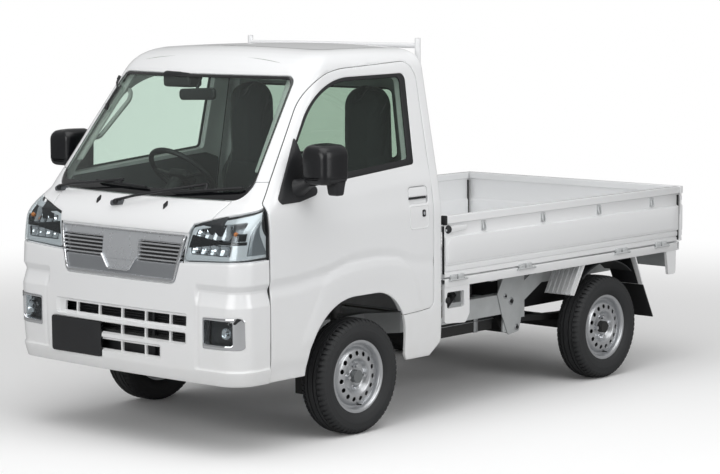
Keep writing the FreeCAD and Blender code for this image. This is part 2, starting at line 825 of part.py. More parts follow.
def tail_gate():
    """The tailgate with its hinge barrels."""
    leaf = box("tail_leaf", ("-overall_width / 2", "overall_width / 2"),
               (f"{tail_outer} - gate_thick", tail_outer),
               ("gate_bottom", "gate_top"))
    pieces = [leaf]
    bores = []
    for number, (middle, length) in enumerate(tail_hinge_rows):
        start = middle - length / 2
        pieces.append(rod(f"tail_barrel_{number}", "x", "gate_knuckle_radius",
                          length, start, tail_pin, hinge_z))
        pieces.append(box(
            f"tail_tab_{number}", (start, start + length),
            (f"{tail_pin} - gate_knuckle_radius", tail_pin),
            (hinge_z, "gate_bottom + 15")))
        bores.append(rod(f"tail_bore_{number}", "x",
                         "gate_pin_radius + running_gap", length + 20,
                         start - 10, tail_pin, hinge_z))
    return cut("tailgate", fused("tail_gate_body", pieces), bores)


def hinge_pins():
    """Every gate's fixed pins, each held between two lugs of the floor."""
    groups = []
    reach = lug_gap + lug_thick
    for number, (middle, length) in enumerate(side_hinge_rows):
        low, high = middle - length / 2, middle + length / 2
        pieces = [rod(f"side_pin_{number}", "y", "gate_pin_radius",
                      length + 2 * reach, side_pin,
                      f"{bed_front_at} + {low - reach}", hinge_z)]
        for end, start in enumerate((low - reach, high + lug_gap)):
            pieces.append(rod(f"side_lug_{number}_{end}", "y",
                              "gate_knuckle_radius - 0.5", lug_thick, side_pin,
                              f"{bed_front_at} + {start}", hinge_z))
            pieces.append(box(
                f"side_root_{number}_{end}", (floor_lip, side_pin),
                (f"{bed_front_at} + {start}",
                 f"{bed_front_at} + {start + lug_thick}"),
                (f"{hinge_z} - 6", f"{hinge_z} + 3")))
        left = fused(f"side_hinge_{number}", pieces)
        groups += [left, mirrored(f"side_hinge_{number}_right", left)]
    for number, (middle, length) in enumerate(tail_hinge_rows):
        low, high = middle - length / 2, middle + length / 2
        pieces = [rod(f"tail_pin_{number}", "x", "gate_pin_radius",
                      length + 2 * reach, low - reach, tail_pin, hinge_z)]
        for end, start in enumerate((low - reach, high + lug_gap)):
            pieces.append(rod(f"tail_lug_{number}_{end}", "x",
                              "gate_knuckle_radius - 0.5", lug_thick, start,
                              tail_pin, hinge_z))
            pieces.append(box(
                f"tail_root_{number}_{end}", (start, start + lug_thick),
                (f"{tail_outer} - 9", tail_pin),
                (f"{hinge_z} - 6", f"{hinge_z} + 3")))
        groups.append(fused(f"tail_hinge_{number}", pieces))
    return together("gate_hinges", groups)


gate_left = side_gate()
gate_right = mirrored("gate_right", gate_left)
tailgate = tail_gate()
gate_hinges = hinge_pins()

# The guard frame stands on the bed's front panel, behind the cab.
guard_y = f"{bed_front_at} + front_panel_thick / 2"
guard_pieces = [rod(f"guard_post_{side + 1}", "z", "guard_pipe",
                    "overall_height - gate_top", f"{side} * guard_post_x",
                    guard_y, "gate_top") for side in (-1, 1)]
guard_pieces.append(rod("guard_bar", "x", "guard_pipe", "2 * guard_post_x",
                        "-guard_post_x", guard_y, "overall_height - 36"))
guard_frame = fused("guard_frame", guard_pieces)

# ---------------------------------------------------------------- under the bed

under_bed = size("bed_floor_top") - size("bed_floor_thick")
side_plate_low = half_width - 25
side_plate_high = half_width - 9.5


def bed_bracket_shape():
    """The left side's front bracket, with its window, and rear bracket."""
    ahead = side_prism([
        (bed_front, under_bed, 0), (bed_front, 440, 15), (bed_front + 155, 428, 25),
        (bed_front + 185, 470, 20), (bed_front + 185, under_bed, 0)],
        side_plate_low, side_plate_high)
    ahead = ahead.cut(side_prism([
        (bed_front + 17, 585, 12), (bed_front + 17, 508, 12),
        (bed_front + 145, 508, 12), (bed_front + 145, 585, 12)],
        side_plate_low - 5, side_plate_high + 5))
    aft = side_prism([
        (rear_end - 152, under_bed, 0), (rear_end - 130, 483, 15),
        (rear_end - 62, 483, 15), (rear_end - 58, under_bed, 0)],
        side_plate_low, side_plate_high)
    return ahead, aft


left_brackets = [shaped(f"bracket_{number}", piece)
                 for number, piece in enumerate(bed_bracket_shape())]
# The guard ahead of a rear wheel hangs from the bearer over it.
guard_inner = rail_outer + 45
guard_outer = half_width - 9.5
steel_guards = []
rubber_flaps = []
for side in (-1, 1):
    low, high = sorted((side * guard_inner, side * guard_outer))
    steel_guards.append(side_prism([
        (rear_axle - 210, bearer_low, 0), (rear_axle - 300, 462, 0),
        (rear_axle - 292, 462, 0), (rear_axle - 202, bearer_low, 0)], low, high))
    steel_guards.append(side_prism([
        (rear_axle + 228, under_bed, 0), (rear_axle + 303, 455, 0),
        (rear_axle + 311, 455, 0), (rear_axle + 236, under_bed, 0)], low, high))
    rubber_flaps.append(side_prism([
        (rear_axle + 303, 455, 0), (rear_axle + 397, 274, 0),
        (rear_axle + 405, 274, 0), (rear_axle + 311, 455, 0)], low, high))
bed_brackets = together("bed_brackets", left_brackets + [
    mirrored(f"bracket_{number}_right", piece)
    for number, piece in enumerate(left_brackets)] + [
        shaped(f"guard_{number}", piece)
        for number, piece in enumerate(steel_guards)])
mud_flaps = together("mud_flaps", [
    shaped(f"flap_{number}", piece) for number, piece in enumerate(rubber_flaps)])

beam_half = half_width - 37.5
rear_beam = box("rear_beam", (-beam_half, beam_half), (rail_end, rail_end + 40),
                (520, 600))
rear_lamps = together("rear_lamps", [
    box("lamp_rear_left", (beam_half - 160, beam_half),
        (rail_end + 40, rail_end + 72), (520, 600)),
    box("lamp_rear_right", (-beam_half, 160 - beam_half),
        (rail_end + 40, rail_end + 72), (520, 600))])
plate_rear = box("plate_rear", (-165, 165), (rail_end + 40, rail_end + 43),
                 (420, 585))
plate_block = Part.makeBox(140, 60, 60, Vector(-338, front_end + 2.5, 430)).cut(
    outer_cab)
plate_front = shaped("plate_front", Part.makeBox(
    330, 2.5, 165, Vector(-433, front_end, 374)).fuse(sorted(
        plate_block.Solids, key=lambda s: s.BoundBox.YMin)[0]))
number_plates = together("number_plates", [plate_front, plate_rear])

# ---------------------------------------------------------------- drivetrain

engine_start = front_axle - 250
engine_end = front_axle + 260
engine = together("engine", [
    box("engine_block", (-190, 190), (engine_start, engine_end), (262, 640)),
    box("gearbox", (-110, 110), (engine_end, front_axle + 690), (285, 395)),
    rod("propshaft", "y", 32, rear_axle - 120 - front_axle - 690, 0,
        f"{front_axle_at} + 690", 320)])
fuel_tank = box("fuel_tank", (60, 440), (f"{front_axle_at} + 740",
                f"{front_axle_at} + 1300"), (300, rail_low + 20))
muffler_can = rod("muffler_can", "y", 72, 420, -260,
                  f"{front_axle_at} + 850", 318)
muffler = together("muffler", [
    muffler_can,
    cut("muffler_strap", box(
        "strap_blank", (-275, -245), (f"{front_axle_at} + 965",
        f"{front_axle_at} + 995"), (370, rail_low + 20)), [muffler_can]),
    rod("tail_pipe", "y", 18, 420, -290, f"{front_axle_at} + 1270", 340)])

# ---------------------------------------------------------------- axles

hub_z = size("tyre_radius")
diff_case = rod("diff_case", "x", 95, 150, -75, rear_axle_at, "tyre_radius")
axle_pieces = [diff_case, cut("diff_nose", box(
    "nose_blank", (-60, 60), (f"{rear_axle_at} - 120", f"{rear_axle_at} - 60"),
    (265, 355)), [diff_case])]
spindle = "hub_bore - running_gap"
for side in (-1, 1):
    # each end is stacked outwards: tube, brake drum, wheel spindle
    for name, radius, near, far in (("axle_tube", "axle_radius", 75, 580),
                                    ("drum", 98, 580, 620),
                                    ("spindle", spindle, 620, 708)):
        axle_pieces.append(rod(
            f"{name}_{side + 1}", "x", radius, far - near,
            near if side > 0 else -far, rear_axle_at, "tyre_radius"))
rear_axle_tube = together("rear_axle", axle_pieces)

spring_mid = rail_outer - rail_width / 2
spring_low = hub_z + size("axle_radius")
spring_half = size("spring_width") / 2
leaf_outline = [
    (rear_axle - 470, 322), (rear_axle - 400, 322), (rear_axle - 60, spring_low),
    (rear_axle + 60, spring_low), (rear_axle + 440, 372),
    (rear_axle + 500, 372), (rear_axle + 500, 396), (rear_axle + 440, 396),
    (rear_axle + 80, spring_low + 32), (rear_axle - 80, spring_low + 32),
    (rear_axle - 400, 346), (rear_axle - 470, 346),
]
leaf_left = shaped("leaf_left", side_prism(
    [(y, z, 0) for y, z in leaf_outline],
    spring_mid - spring_half, spring_mid + spring_half))
leaf_springs = together("leaf_springs", [
    leaf_left, mirrored("leaf_right", leaf_left)])
hanger_left = shaped("hanger_left", Part.makeBox(50, 60, 140, Vector(
    spring_mid - 25, rear_axle - 465, 346)).cut(rail_shape()))
shackle_left = shaped("shackle_left", Part.makeBox(
    50, 44, rail_low + rail_kick - 396, Vector(
        spring_mid - 25, rear_axle + 448, 396)))
crossmembers = together("frame_crossmembers", cross_bars + [
    rear_beam, hanger_left, shackle_left,
    mirrored("hanger_right", hanger_left),
    mirrored("shackle_right", shackle_left)])

kingpin_x = "(kingpin_track / 2)"
arm_low = ("front_overhang - overall_length / 2 - 35",
           "front_overhang - overall_length / 2 + 35")
susp_pieces = [
    box("lower_arm", (rail_front - rail_width, "kingpin_track / 2 + 16"),
        arm_low, (150, 178)),
    box("arm_post", (rail_front - rail_width, rail_front), arm_low,
        (178, rail_low)),
    box("tower_post", (rail_front - rail_width, rail_front), arm_low,
        (rail_low + rail_height, 600)),
    box("tower_top", (rail_front - rail_width, "kingpin_track / 2 + 40"),
        arm_low, (600, 620)),
    rod("king_pin", "z", 9, 262, kingpin_x, front_axle_at, 178),
    rod("strut_tube", "z", 16.5, 105, kingpin_x, front_axle_at, 440),
    rod("strut_spring", "z", 38, 55, kingpin_x, front_axle_at, 545),
]
front_suspension = together("front_suspension", susp_pieces + [
    mirrored(piece.Label + "_right", piece) for piece in susp_pieces])

knuckle_pieces = [
    rod("knuckle_post", "z", 16.5, 250, kingpin_x, front_axle_at, 184),
    rod("knuckle_neck", "x", 40, 27, f"{kingpin_x} + 4", front_axle_at,
        "tyre_radius"),
    rod("knuckle_drum", "x", 80, 32, f"{kingpin_x} + 31", front_axle_at,
        "tyre_radius"),
    rod("knuckle_spindle", "x", spindle, 86, f"{kingpin_x} + 63", front_axle_at,
        "tyre_radius"),
]
knuckle_left = cut("knuckle_left", fused("knuckle_body", knuckle_pieces), [
    rod("knuckle_bore", "z", "9 + running_gap", 300, kingpin_x, front_axle_at,
        160)])
knuckle_right = mirrored("knuckle_right", knuckle_left)

# ---------------------------------------------------------------- wheels

# Half sections about the wheel's axis: (out from the middle, radius).
tyre_section = [
    ("-44", "bead_radius"), ("-48", "bead_radius + 3.6"),
    ("-48", "rim_lip_radius + 1"), ("-58", "rim_lip_radius + 7"),
    ("-tyre_width / 2 + 3", "tyre_radius - 74"),
    ("-tyre_width / 2", "tyre_radius - 52"),
    ("-tyre_width / 2 + 3", "tyre_radius - 30"),
    ("-tyre_width / 2 + 10", "tyre_radius - 12"),
    ("-tyre_width / 2 + 21", "tyre_radius - 3"), ("-34", "tyre_radius"),
    ("34", "tyre_radius"), ("tyre_width / 2 - 21", "tyre_radius - 3"),
    ("tyre_width / 2 - 10", "tyre_radius - 12"),
    ("tyre_width / 2 - 3", "tyre_radius - 30"),
    ("tyre_width / 2", "tyre_radius - 52"),
    ("tyre_width / 2 - 3", "tyre_radius - 74"),
    ("58", "rim_lip_radius + 7"), ("48", "rim_lip_radius + 1"),
    ("48", "bead_radius + 3.6"), ("44", "bead_radius"),
]
rim_section = [
    ("-rim_width / 2", "rim_lip_radius"), ("-48", "rim_lip_radius"),
    ("-48", "bead_radius + 3.6"), ("-44", "bead_radius"),
    ("-20", "bead_radius"), ("-12", "bead_radius - 12"),
    ("20", "bead_radius - 12"), ("28", "bead_radius"),
    ("44", "bead_radius"), ("48", "bead_radius + 3.6"),
    ("48", "rim_lip_radius"), ("rim_width / 2", "rim_lip_radius"),
    ("rim_width / 2", "bead_radius - 2"), ("50", "bead_radius - 5.4"),
    ("34", "bead_radius - 6.4"), ("36", "120"), ("44", "95"), ("44", "55"),
    ("38", "50"), ("38", "hub_bore"), ("32", "hub_bore"), ("32", "52"),
    ("38", "57"), ("38", "92"), ("30", "115"), ("24", "bead_radius - 18"),
    ("-10", "bead_radius - 18"), ("-18", "bead_radius - 5.4"),
    ("-44", "bead_radius - 5.4"), ("-50", "bead_radius - 2.4"),
    ("-rim_width / 2", "bead_radius - 2.4"),
]


def turned_body(label, section, x, y):
    """A section revolved about the wheel's axis and set at its hub."""
    body = new_body(label)
    sketch = polygon_sketch(body, "XY_Plane", section)
    turn = body.newObject("PartDesign::Revolution", label + "_turn")
    turn.Profile = sketch
    turn.ReferenceAxis = (plane_of(body, "X_Axis"), [""])
    turn.Angle = 360
    sketch.Visibility = False
    place(body, x, y, "tyre_radius")
    return body


wheels = []
for end, half_track, axle_at in (("front", "track_front / 2", front_axle_at),
                                 ("rear", "track_rear / 2", rear_axle_at)):
    for name, section in (("tyre", tyre_section), ("rim", rim_section)):
        left = turned_body(f"{name}_{end}_left", section, half_track, axle_at)
        wheels += [left, mirrored(f"{name}_{end}_right", left)]

# ---------------------------------------------------------------- cab details

# width, depth and height of the head, and of the arm that carries it
mirror_head, mirror_arm = (150, 150, 180), (70, 50, 34)
mirror_head_at = Vector(flank + 27.5, -1305, 1172)
mirror_arm_at = Vector(flank - 37.5, -1290, 1182)
mirror_left = shaped("mirror_left", Part.makeBox(*mirror_head, mirror_head_at).fuse(
    Part.makeBox(*mirror_arm, mirror_arm_at)).cut(outer_cab))
mirror_right = mirrored("mirror_right", mirror_left)


def skin_y(x, z, offset):
    """How far back the cab's front face lies at x and z."""
    rows = [row for row in cab_sections if row[0] <= z][-1:]
    rows += [row for row in cab_sections if row[0] > z][:1]
    share = (z - rows[0][0]) / (rows[1][0] - rows[0][0])
    setback, bow = (rows[0][n] + share * (rows[1][n] - rows[0][n])
                    for n in (1, 2))
    return front_end + setback + bow - math.sqrt(bow ** 2 - x ** 2) + offset


def bar_along_skin(start, end, radius):
    """A bar that follows the cab's front between two x, z, lift points."""
    points = []
    for step in range(6):
        x, z, lift = (a + (b - a) * step / 5 for a, b in zip(start, end))
        points.append(Vector(x, skin_y(x, z, -lift), z))
    pieces = [Part.makeSphere(radius, point) for point in points[1:-1]]
    for here, following in zip(points, points[1:]):
        pieces.append(Part.makeCylinder(
            radius, (following - here).Length, here, following - here))
    return pieces


# Each wiper is its pivot and its blade's two ends, as (x, z, lift). One arm
# passes over the other, so its pivot stands higher.
wiper_rows = [
    ((-20, 1096, 42), (-60, 1150, 10), (-590, 1138, 10)),
    ((-395, 1092, 10), (-330, 1108, 10), (200, 1136, 10)),
]
wiper_pieces = []
for number, (pivot, blade_from, blade_to) in enumerate(wiper_rows):
    middle = tuple((a + b) / 2 for a, b in zip(blade_from, blade_to))
    x, z, lift = pivot
    post = Part.makeCylinder(9, lift + 14, Vector(
        x, skin_y(x, z, -lift) - 4, z), Vector(0, 1, 0))
    wiper_pieces.append(shaped(f"wiper_{number}", post.cut(outer_cab).fuse([
        *bar_along_skin(pivot, middle, 5),
        *bar_along_skin(blade_from, blade_to, 5)])))
wipers = together("wipers", wiper_pieces)

# ---------------------------------------------------------------- export

sub_parts = [
    roof_panel, back_panel, pillars, cab_glass, door_left, door_right,
    glass_left, glass_right, hinges, mirror_left, mirror_right, front_bumper,
    grille, headlamps, fog_lamps, hood, fenders, front_frame, radiator,
    cab_floor, dashboard, column, steering_wheel, cushions, backrests,
    frame_rails, crossmembers, bearers, bed_floor, bed_front_panel, gate_left,
    gate_right, tailgate, gate_hinges, guard_frame, bed_brackets, mud_flaps,
    rear_lamps, number_plates, engine, fuel_tank, muffler, rear_axle_tube,
    leaf_springs, front_suspension, knuckle_left, knuckle_right, wipers,
] + wheels

doc.recompute()
os.makedirs("parts", exist_ok=True)
for thing in doc.Objects:
    if "Invalid" in thing.State or "Error" in thing.State:
        raise RuntimeError(f"{thing.Label} did not rebuild")
for thing in sub_parts:
    if thing.Shape.isNull() or not thing.Shape.isValid():
        raise RuntimeError(f"{thing.Label} has no valid shape")
    if not thing.Shape.Solids:
        raise RuntimeError(f"{thing.Label} has no solid")
    thing.Shape.exportStep(f"parts/{thing.Label}.step")
    print(thing.Label, len(thing.Shape.Solids))
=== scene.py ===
import math

import bmesh
import bpy
import numpy as np
from mathutils import Matrix, Vector, geometry


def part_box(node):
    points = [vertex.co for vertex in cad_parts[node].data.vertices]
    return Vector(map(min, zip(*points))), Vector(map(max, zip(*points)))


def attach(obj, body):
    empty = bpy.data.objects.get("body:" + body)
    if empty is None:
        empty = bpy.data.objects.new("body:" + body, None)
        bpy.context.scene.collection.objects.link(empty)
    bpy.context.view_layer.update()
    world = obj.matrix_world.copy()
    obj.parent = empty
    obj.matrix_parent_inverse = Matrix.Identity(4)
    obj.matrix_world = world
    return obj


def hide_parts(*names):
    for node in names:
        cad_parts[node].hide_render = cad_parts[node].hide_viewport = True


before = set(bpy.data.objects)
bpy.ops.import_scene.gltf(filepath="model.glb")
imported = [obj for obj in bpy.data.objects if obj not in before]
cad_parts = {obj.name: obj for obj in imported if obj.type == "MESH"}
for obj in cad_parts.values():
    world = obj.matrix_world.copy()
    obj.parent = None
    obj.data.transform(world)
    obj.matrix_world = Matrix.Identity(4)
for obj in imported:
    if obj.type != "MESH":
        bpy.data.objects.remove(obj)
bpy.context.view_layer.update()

# Kei truck. Helper functions take millimetres in the truck's own frame:
# X to its left, Y to its rear, Z up, origin on the ground under its middle.
mm = 0.001
truck = {
    "front": -1697.5, "halfWidth": 737.5, "back": -305.0, "frontAxle": -873.0,
    "rearAxle": 1027.0, "shoulderZ": 1640.0, "roofMiddle": 1757.0,
}
sideNames = ((1, "Left"), (-1, "Right"))
print("frame loaded,", len(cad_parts), "nodes")


# nodes and materials

def fromHex(text):
    # sRGB hex to the linear colour that Blender works in
    parts = [int(text[i:i + 2], 16) / 255 for i in (1, 3, 5)]
    return tuple(p / 12.92 if p <= 0.04045 else ((p + 0.055) / 1.055) ** 2.4
        for p in parts) + (1.0,)


def addNode(tree, kind, settings=None, **links):
    # links are socket values or sockets, by name (_ for a space) or by _number
    node = tree.nodes.new(kind)
    for name, value in (settings or {}).items():
        setattr(node, name, value)
    for name, value in links.items():
        key = int(name[1:]) if name[0] == "_" else name.replace("_", " ")
        socket = node.inputs[key]
        if isinstance(value, bpy.types.NodeSocket):
            tree.links.new(value, socket)
        elif isinstance(value, str):
            socket.default_value = fromHex(value)
        else:
            socket.default_value = value
    return node


def newMaterial(name):
    # an empty material, its tree and its object coordinates
    material = bpy.data.materials.new(name)
    material.use_nodes = True
    tree = material.node_tree
    tree.nodes.clear()
    return material, tree, addNode(tree, "ShaderNodeTexCoord").outputs["Object"]


def finishMaterial(tree, shader):
    addNode(tree, "ShaderNodeOutputMaterial", Surface=shader)


def surfaceFinish(name, colour, tint, rough, metallic=0.0, coat=0.0, grain=2.0, bump=0.02,
        patch=180.0):
    # colour drifts to tint in patches; grain and patch are sizes in mm
    material, tree, place = newMaterial(name)
    patches = addNode(tree, "ShaderNodeTexNoise", Vector=place, Scale=1000 / patch,
        Detail=4.0, Roughness=0.6)
    mix = addNode(tree, "ShaderNodeMix", {"data_type": "RGBA"},
        Factor=patches.outputs["Fac"], _6=colour, _7=tint)
    fine = addNode(tree, "ShaderNodeTexNoise", Vector=place, Scale=1000 / grain,
        Detail=3.0, Roughness=0.6)
    bumps = addNode(tree, "ShaderNodeBump", Height=fine.outputs["Fac"], Strength=bump,
        Distance=grain * mm)
    roughness = addNode(tree, "ShaderNodeMapRange", Value=patches.outputs["Fac"],
        To_Min=max(rough - 0.06, 0.02), To_Max=rough + 0.06)
    shader = addNode(tree, "ShaderNodeBsdfPrincipled", Base_Color=mix.outputs[2],
        Metallic=metallic, Roughness=roughness.outputs["Result"],
        Normal=bumps.outputs["Normal"], Coat_Weight=coat, IOR=1.5)
    finishMaterial(tree, shader.outputs["BSDF"])
    return material


# meshes

def newObject(name, points, faces):
    # points in mm; the object stays at the origin
    mesh = bpy.data.meshes.new(name)
    mesh.from_pydata([tuple(p) for p in np.asarray(points, float) * mm], [],
        [tuple(f) for f in faces])
    made = bpy.data.objects.new(name, mesh)
    bpy.context.scene.collection.objects.link(made)
    return made


def addPiece(name, points, faces, material, rider="chassis", angle=35, replaced=()):
    # a piece that rides on one body; edges sharper than the angle stay sharp
    piece = newObject(name, points, faces)
    piece.data.validate()
    piece.data.materials.append(material)
    piece.data.shade_smooth()
    piece.data.set_sharp_from_angle(angle=math.radians(angle))
    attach(piece, rider)
    if replaced:
        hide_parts(*replaced)
    return piece


def joinShapes(*shapes):
    points, faces, start = [], [], 0
    for shapePoints, shapeFaces in shapes:
        points += [tuple(p) for p in shapePoints]
        faces += [tuple(i + start for i in f) for f in shapeFaces]
        start = len(points)
    return points, faces


def flipX(shape):
    points, faces = shape
    return ([(-p[0], p[1], p[2]) for p in points], [tuple(f[::-1]) for f in faces])


def mirrored(shape, side):
    return shape if side > 0 else flipX(shape)


def leftOnly(side, node):
    # the left piece stands for a node that holds both sides
    return (node,) if side > 0 else ()


def addPairs(*rows, **more):
    # each row's label, shape and material as a left piece and its mirror image
    for side, name in sideNames:
        for label, shape, material in rows:
            addPiece(f"{label}{name}", *mirrored(shape, side), material, **more)


def moved(shape, offset):
    return np.asarray(shape[0], float) + np.array(offset), shape[1]


def toBmesh(shape):
    bm = bmesh.new()
    verts = [bm.verts.new(tuple(p)) for p in shape[0]]
    for f in shape[1]:
        try:
            bm.faces.new([verts[i] for i in f])
        except ValueError:
            pass  # a face that is there already
    return bm


def fromBmesh(bm):
    bm.verts.index_update()
    shape = ([tuple(v.co) for v in bm.verts],
        [tuple(v.index for v in f.verts) for f in bm.faces])
    bm.free()
    return shape


def block(low, high, edge=2.0, segments=2):
    # a box with rounded edges
    bm = bmesh.new()
    bmesh.ops.create_cube(bm, size=1.0)
    low, high = np.array(low, float), np.array(high, float)
    for v in bm.verts:
        v.co = Vector((low + high) / 2 + np.array(v.co) * (high - low))
    edge = min(edge, 0.45 * float(min(high - low)))
    if edge > 0:
        bmesh.ops.bevel(bm, geom=bm.edges[:], offset=edge, segments=segments, profile=0.5,
            affect="EDGES")
    return fromBmesh(bm)


def roundCorners(corners, step=8.0):
    # closed outline from (a, b, radius) corners, sampled about every step
    count, outline = len(corners), []
    for i in range(count):
        a, b, *radius = corners[i]
        here = np.array([a, b], float)
        before = np.array(corners[i - 1][:2], float) - here
        after = np.array(corners[(i + 1) % count][:2], float) - here
        radius = radius[0] if radius else 0
        if radius <= 0:
            outline.append(here)
            continue
        before /= np.linalg.norm(before)
        after /= np.linalg.norm(after)
        if np.linalg.norm(before + after) < 0.02:
            outline.append(here)
            continue
        half = math.acos(np.clip(before @ after, -1, 1)) / 2
        middle = (before + after) / np.linalg.norm(before + after)
        centre = here + middle * radius / math.sin(half)
        start = here + before * radius / math.tan(half) - centre
        sweep = math.pi - 2 * half
        turn = 1 if before[0] * after[1] - before[1] * after[0] < 0 else -1
        parts = max(3, int(sweep * radius / step) + 1)
        x, y = start
        for k in range(parts + 1):
            angle = turn * sweep * k / parts
            c, s = math.cos(angle), math.sin(angle)
            outline.append(centre + (c * x - s * y, s * x + c * y))
    dense = []
    for i, here in enumerate(outline):
        following = outline[(i + 1) % len(outline)]
        parts = max(1, int(round(np.linalg.norm(following - here) / step)))
        dense += [here + (following - here) * k / parts for k in range(parts)]
    return np.array(dense)


def prism(outline, axis, low, high, edge=1.5, segments=2):
    # an outline in the plane across an axis, run along it, its rims rounded;
    # outline pairs are (y, z) for x, (x, z) for y and (x, y) for z
    lift = {"x": lambda a, b, c: (c, a, b), "y": lambda a, b, c: (a, c, b),
            "z": lambda a, b, c: (a, b, c)}[axis]
    bm = bmesh.new()
    rims = [[bm.verts.new(lift(a, b, c)) for a, b in outline] for c in (low, high)]
    caps = [bm.faces.new(rims[0]), bm.faces.new(rims[1])]
    for i in range(len(outline)):
        j = (i + 1) % len(outline)
        bm.faces.new((rims[0][i], rims[0][j], rims[1][j], rims[1][i]))
    bmesh.ops.recalc_face_normals(bm, faces=bm.faces[:])
    if edge > 0:
        rimEdges = list(dict.fromkeys(e for cap in caps for e in cap.edges))
        bmesh.ops.bevel(bm, geom=rimEdges, offset=edge, segments=segments, profile=0.5,
            affect="EDGES", clamp_overlap=True)
    bmesh.ops.triangulate(bm, faces=[f for f in bm.faces if len(f.verts) > 4])
    return fromBmesh(bm)


def turned(profile, axis, centre, steps=64):
    # profile of (along, radius) turned about an axis; open ends are capped
    turn = {"x": (0, 1, 2), "y": (1, 2, 0), "z": (2, 0, 1)}[axis]
    points, faces, count = [], [], len(profile)
    for k in range(steps):
        angle = 2 * math.pi * k / steps
        for along, radius in profile:
            point = [0.0, 0.0, 0.0]
            point[turn[0]] = along
            point[turn[1]] = radius * math.cos(angle)
            point[turn[2]] = radius * math.sin(angle)
            points.append(np.array(point) + np.array(centre, float))
    for k in range(steps):
        here, following = k * count, (k + 1) % steps * count
        for i in range(count - 1):
            faces.append((here + i, here + i + 1, following + i + 1, following + i))
    for end in (0, count - 1):
        if profile[end][1] > 0.01 and profile[0] != profile[-1]:
            faces.append([k * count + end for k in range(steps)])
    return cleaned((points, faces))


def cleaned(shape):
    # doubles merged, normals outward
    bm = toBmesh(shape)
    bmesh.ops.remove_doubles(bm, verts=bm.verts[:], dist=0.01)
    bmesh.ops.dissolve_degenerate(bm, edges=bm.edges[:], dist=0.001)
    bmesh.ops.recalc_face_normals(bm, faces=bm.faces[:])
    return fromBmesh(bm)


def rounded(points, bend):
    # a path of straight runs with its corners turned into arcs of radius bend
    points = [np.array(p, float) for p in points]
    path, parts = [points[0]], 5
    for before, here, after in zip(points, points[1:], points[2:]):
        back, ahead = before - here, after - here
        reach = min(bend, 0.48 * np.linalg.norm(back), 0.48 * np.linalg.norm(ahead))
        start = here + back / np.linalg.norm(back) * reach
        end = here + ahead / np.linalg.norm(ahead) * reach
        for k in range(parts + 1):
            t = k / parts
            path.append((1 - t) ** 2 * start + 2 * t * (1 - t) * here + t * t * end)
    return path + [points[-1]]


def ellipse(wide, tall, count):
    turns = np.linspace(0, 2 * math.pi, count, endpoint=False)
    return [(wide * math.cos(a), tall * math.sin(a)) for a in turns]


def bridged(count, rings, closed=False):
    # quads between neighbouring rings of points, counted ring by ring
    faces = []
    for i in range(rings if closed else rings - 1):
        here, following = i * count, (i + 1) % rings * count
        faces += [(here + k, here + (k + 1) % count, following + (k + 1) % count,
            following + k) for k in range(count)]
    return faces


def tube(path, radius=0.0, sides=12, closed=False, section=None):
    # a section swept along a path; the default section is round
    path = [np.array(p, float) for p in path]
    count = len(path)
    if section is None:
        section = ellipse(radius, radius, sides)
    sides = len(section)
    points, previous = [], None
    for i in range(count):
        before = path[i - 1] if closed or i else path[i]
        after = path[(i + 1) % count] if closed or i < count - 1 else path[i]
        ahead = (after - before) / max(np.linalg.norm(after - before), 1e-9)
        if previous is None:
            seed = np.array([0, 0, 1.0]) if abs(ahead[2]) < 0.9 else np.array([0, 1.0, 0])
            previous = np.cross(seed, ahead)
        side = previous - ahead * (previous @ ahead)
        side /= np.linalg.norm(side)
        up = np.cross(ahead, side)
        previous = side
        points += [path[i] + side * a + up * b for a, b in section]
    faces = bridged(sides, count, closed)
    if not closed:
        faces += [list(range(sides)), [(count - 1) * sides + k for k in range(sides)]]
    return cleaned((points, faces))


# the cab's skin: s runs round a plan section, t up it

cab = {
    # z, setback, bow, corner, inset
    "sections": [(250, 26, 9000, 110, 16), (385, 7, 9000, 110, 3),
                 (500, 4, 9000, 105, 0), (746, 12, 9000, 95, 0),
                 (964, 37, 9000, 90, 0), (1104, 120, 2600, 120, 16),
                 (1200, 193.1, 2600, 120, 33.9), (1860, 696, 2600, 120, 157)],
    # s at the ends of front arc, corner, side, back corner and back
    "stops": [0, 600, 760, 2060, 2100, 2700],
    "backRadius": 25.0,
    "roofInset": (150.0, 106.0, 60.0), "roofCorner": 70.0, "roofBend": 100.0,
    # how far the roof falls at which distance, across and along, and its middle
    "crown": (19, 560, 7, 400, -700),
}
roofRim = truck["shoulderZ"] + cab["roofBend"]


def smoothTable(rows, at):
    # monotone cubic through the rows, for every column at once
    rows = np.array(rows, float)
    x, y = rows[:, 0], rows[:, 1:]
    h = np.diff(x)[:, None]
    slope = np.diff(y, axis=0) / h
    grade = np.zeros_like(y)
    grade[0], grade[-1] = slope[0], slope[-1]
    same = slope[:-1] * slope[1:] > 0
    both = np.where(same, slope[:-1] * slope[1:], 1)
    grade[1:-1] = np.where(same, 2 * both / np.where(same, slope[:-1] + slope[1:], 1), 0)
    at = np.clip(np.asarray(at, float), x[0], x[-1])
    k = np.clip(np.searchsorted(x, at) - 1, 0, len(x) - 2)
    w, u = (x[k + 1] - x[k])[:, None], ((at - x[k]) / (x[k + 1] - x[k]))[:, None]
    return (y[k] * (1 + 2 * u) * (1 - u) ** 2 + grade[k] * w * u * (1 - u) ** 2 + y[k + 1]
        * u * u * (3 - 2 * u) + grade[k + 1] * w * u * u * (u - 1))


def planShape(z, insets=(0, 0, 0), corner=None):
    # width, corner centre, bow centre, angles and radii of the section at z
    setback, bow, radius, inset = smoothTable(cab["sections"], z).T
    front = truck["front"] + setback + insets[0]
    width = truck["halfWidth"] - inset - insets[1]
    if corner is not None:
        radius = np.full_like(radius, corner)
    back = truck["back"] - insets[2]
    centreX, bowY = width - radius, front + bow
    centreY = bowY - np.sqrt((bow - radius) ** 2 - centreX ** 2)
    return width, centreX, centreY, bowY, bow, radius, np.arctan2(centreX, bowY
        - centreY), back


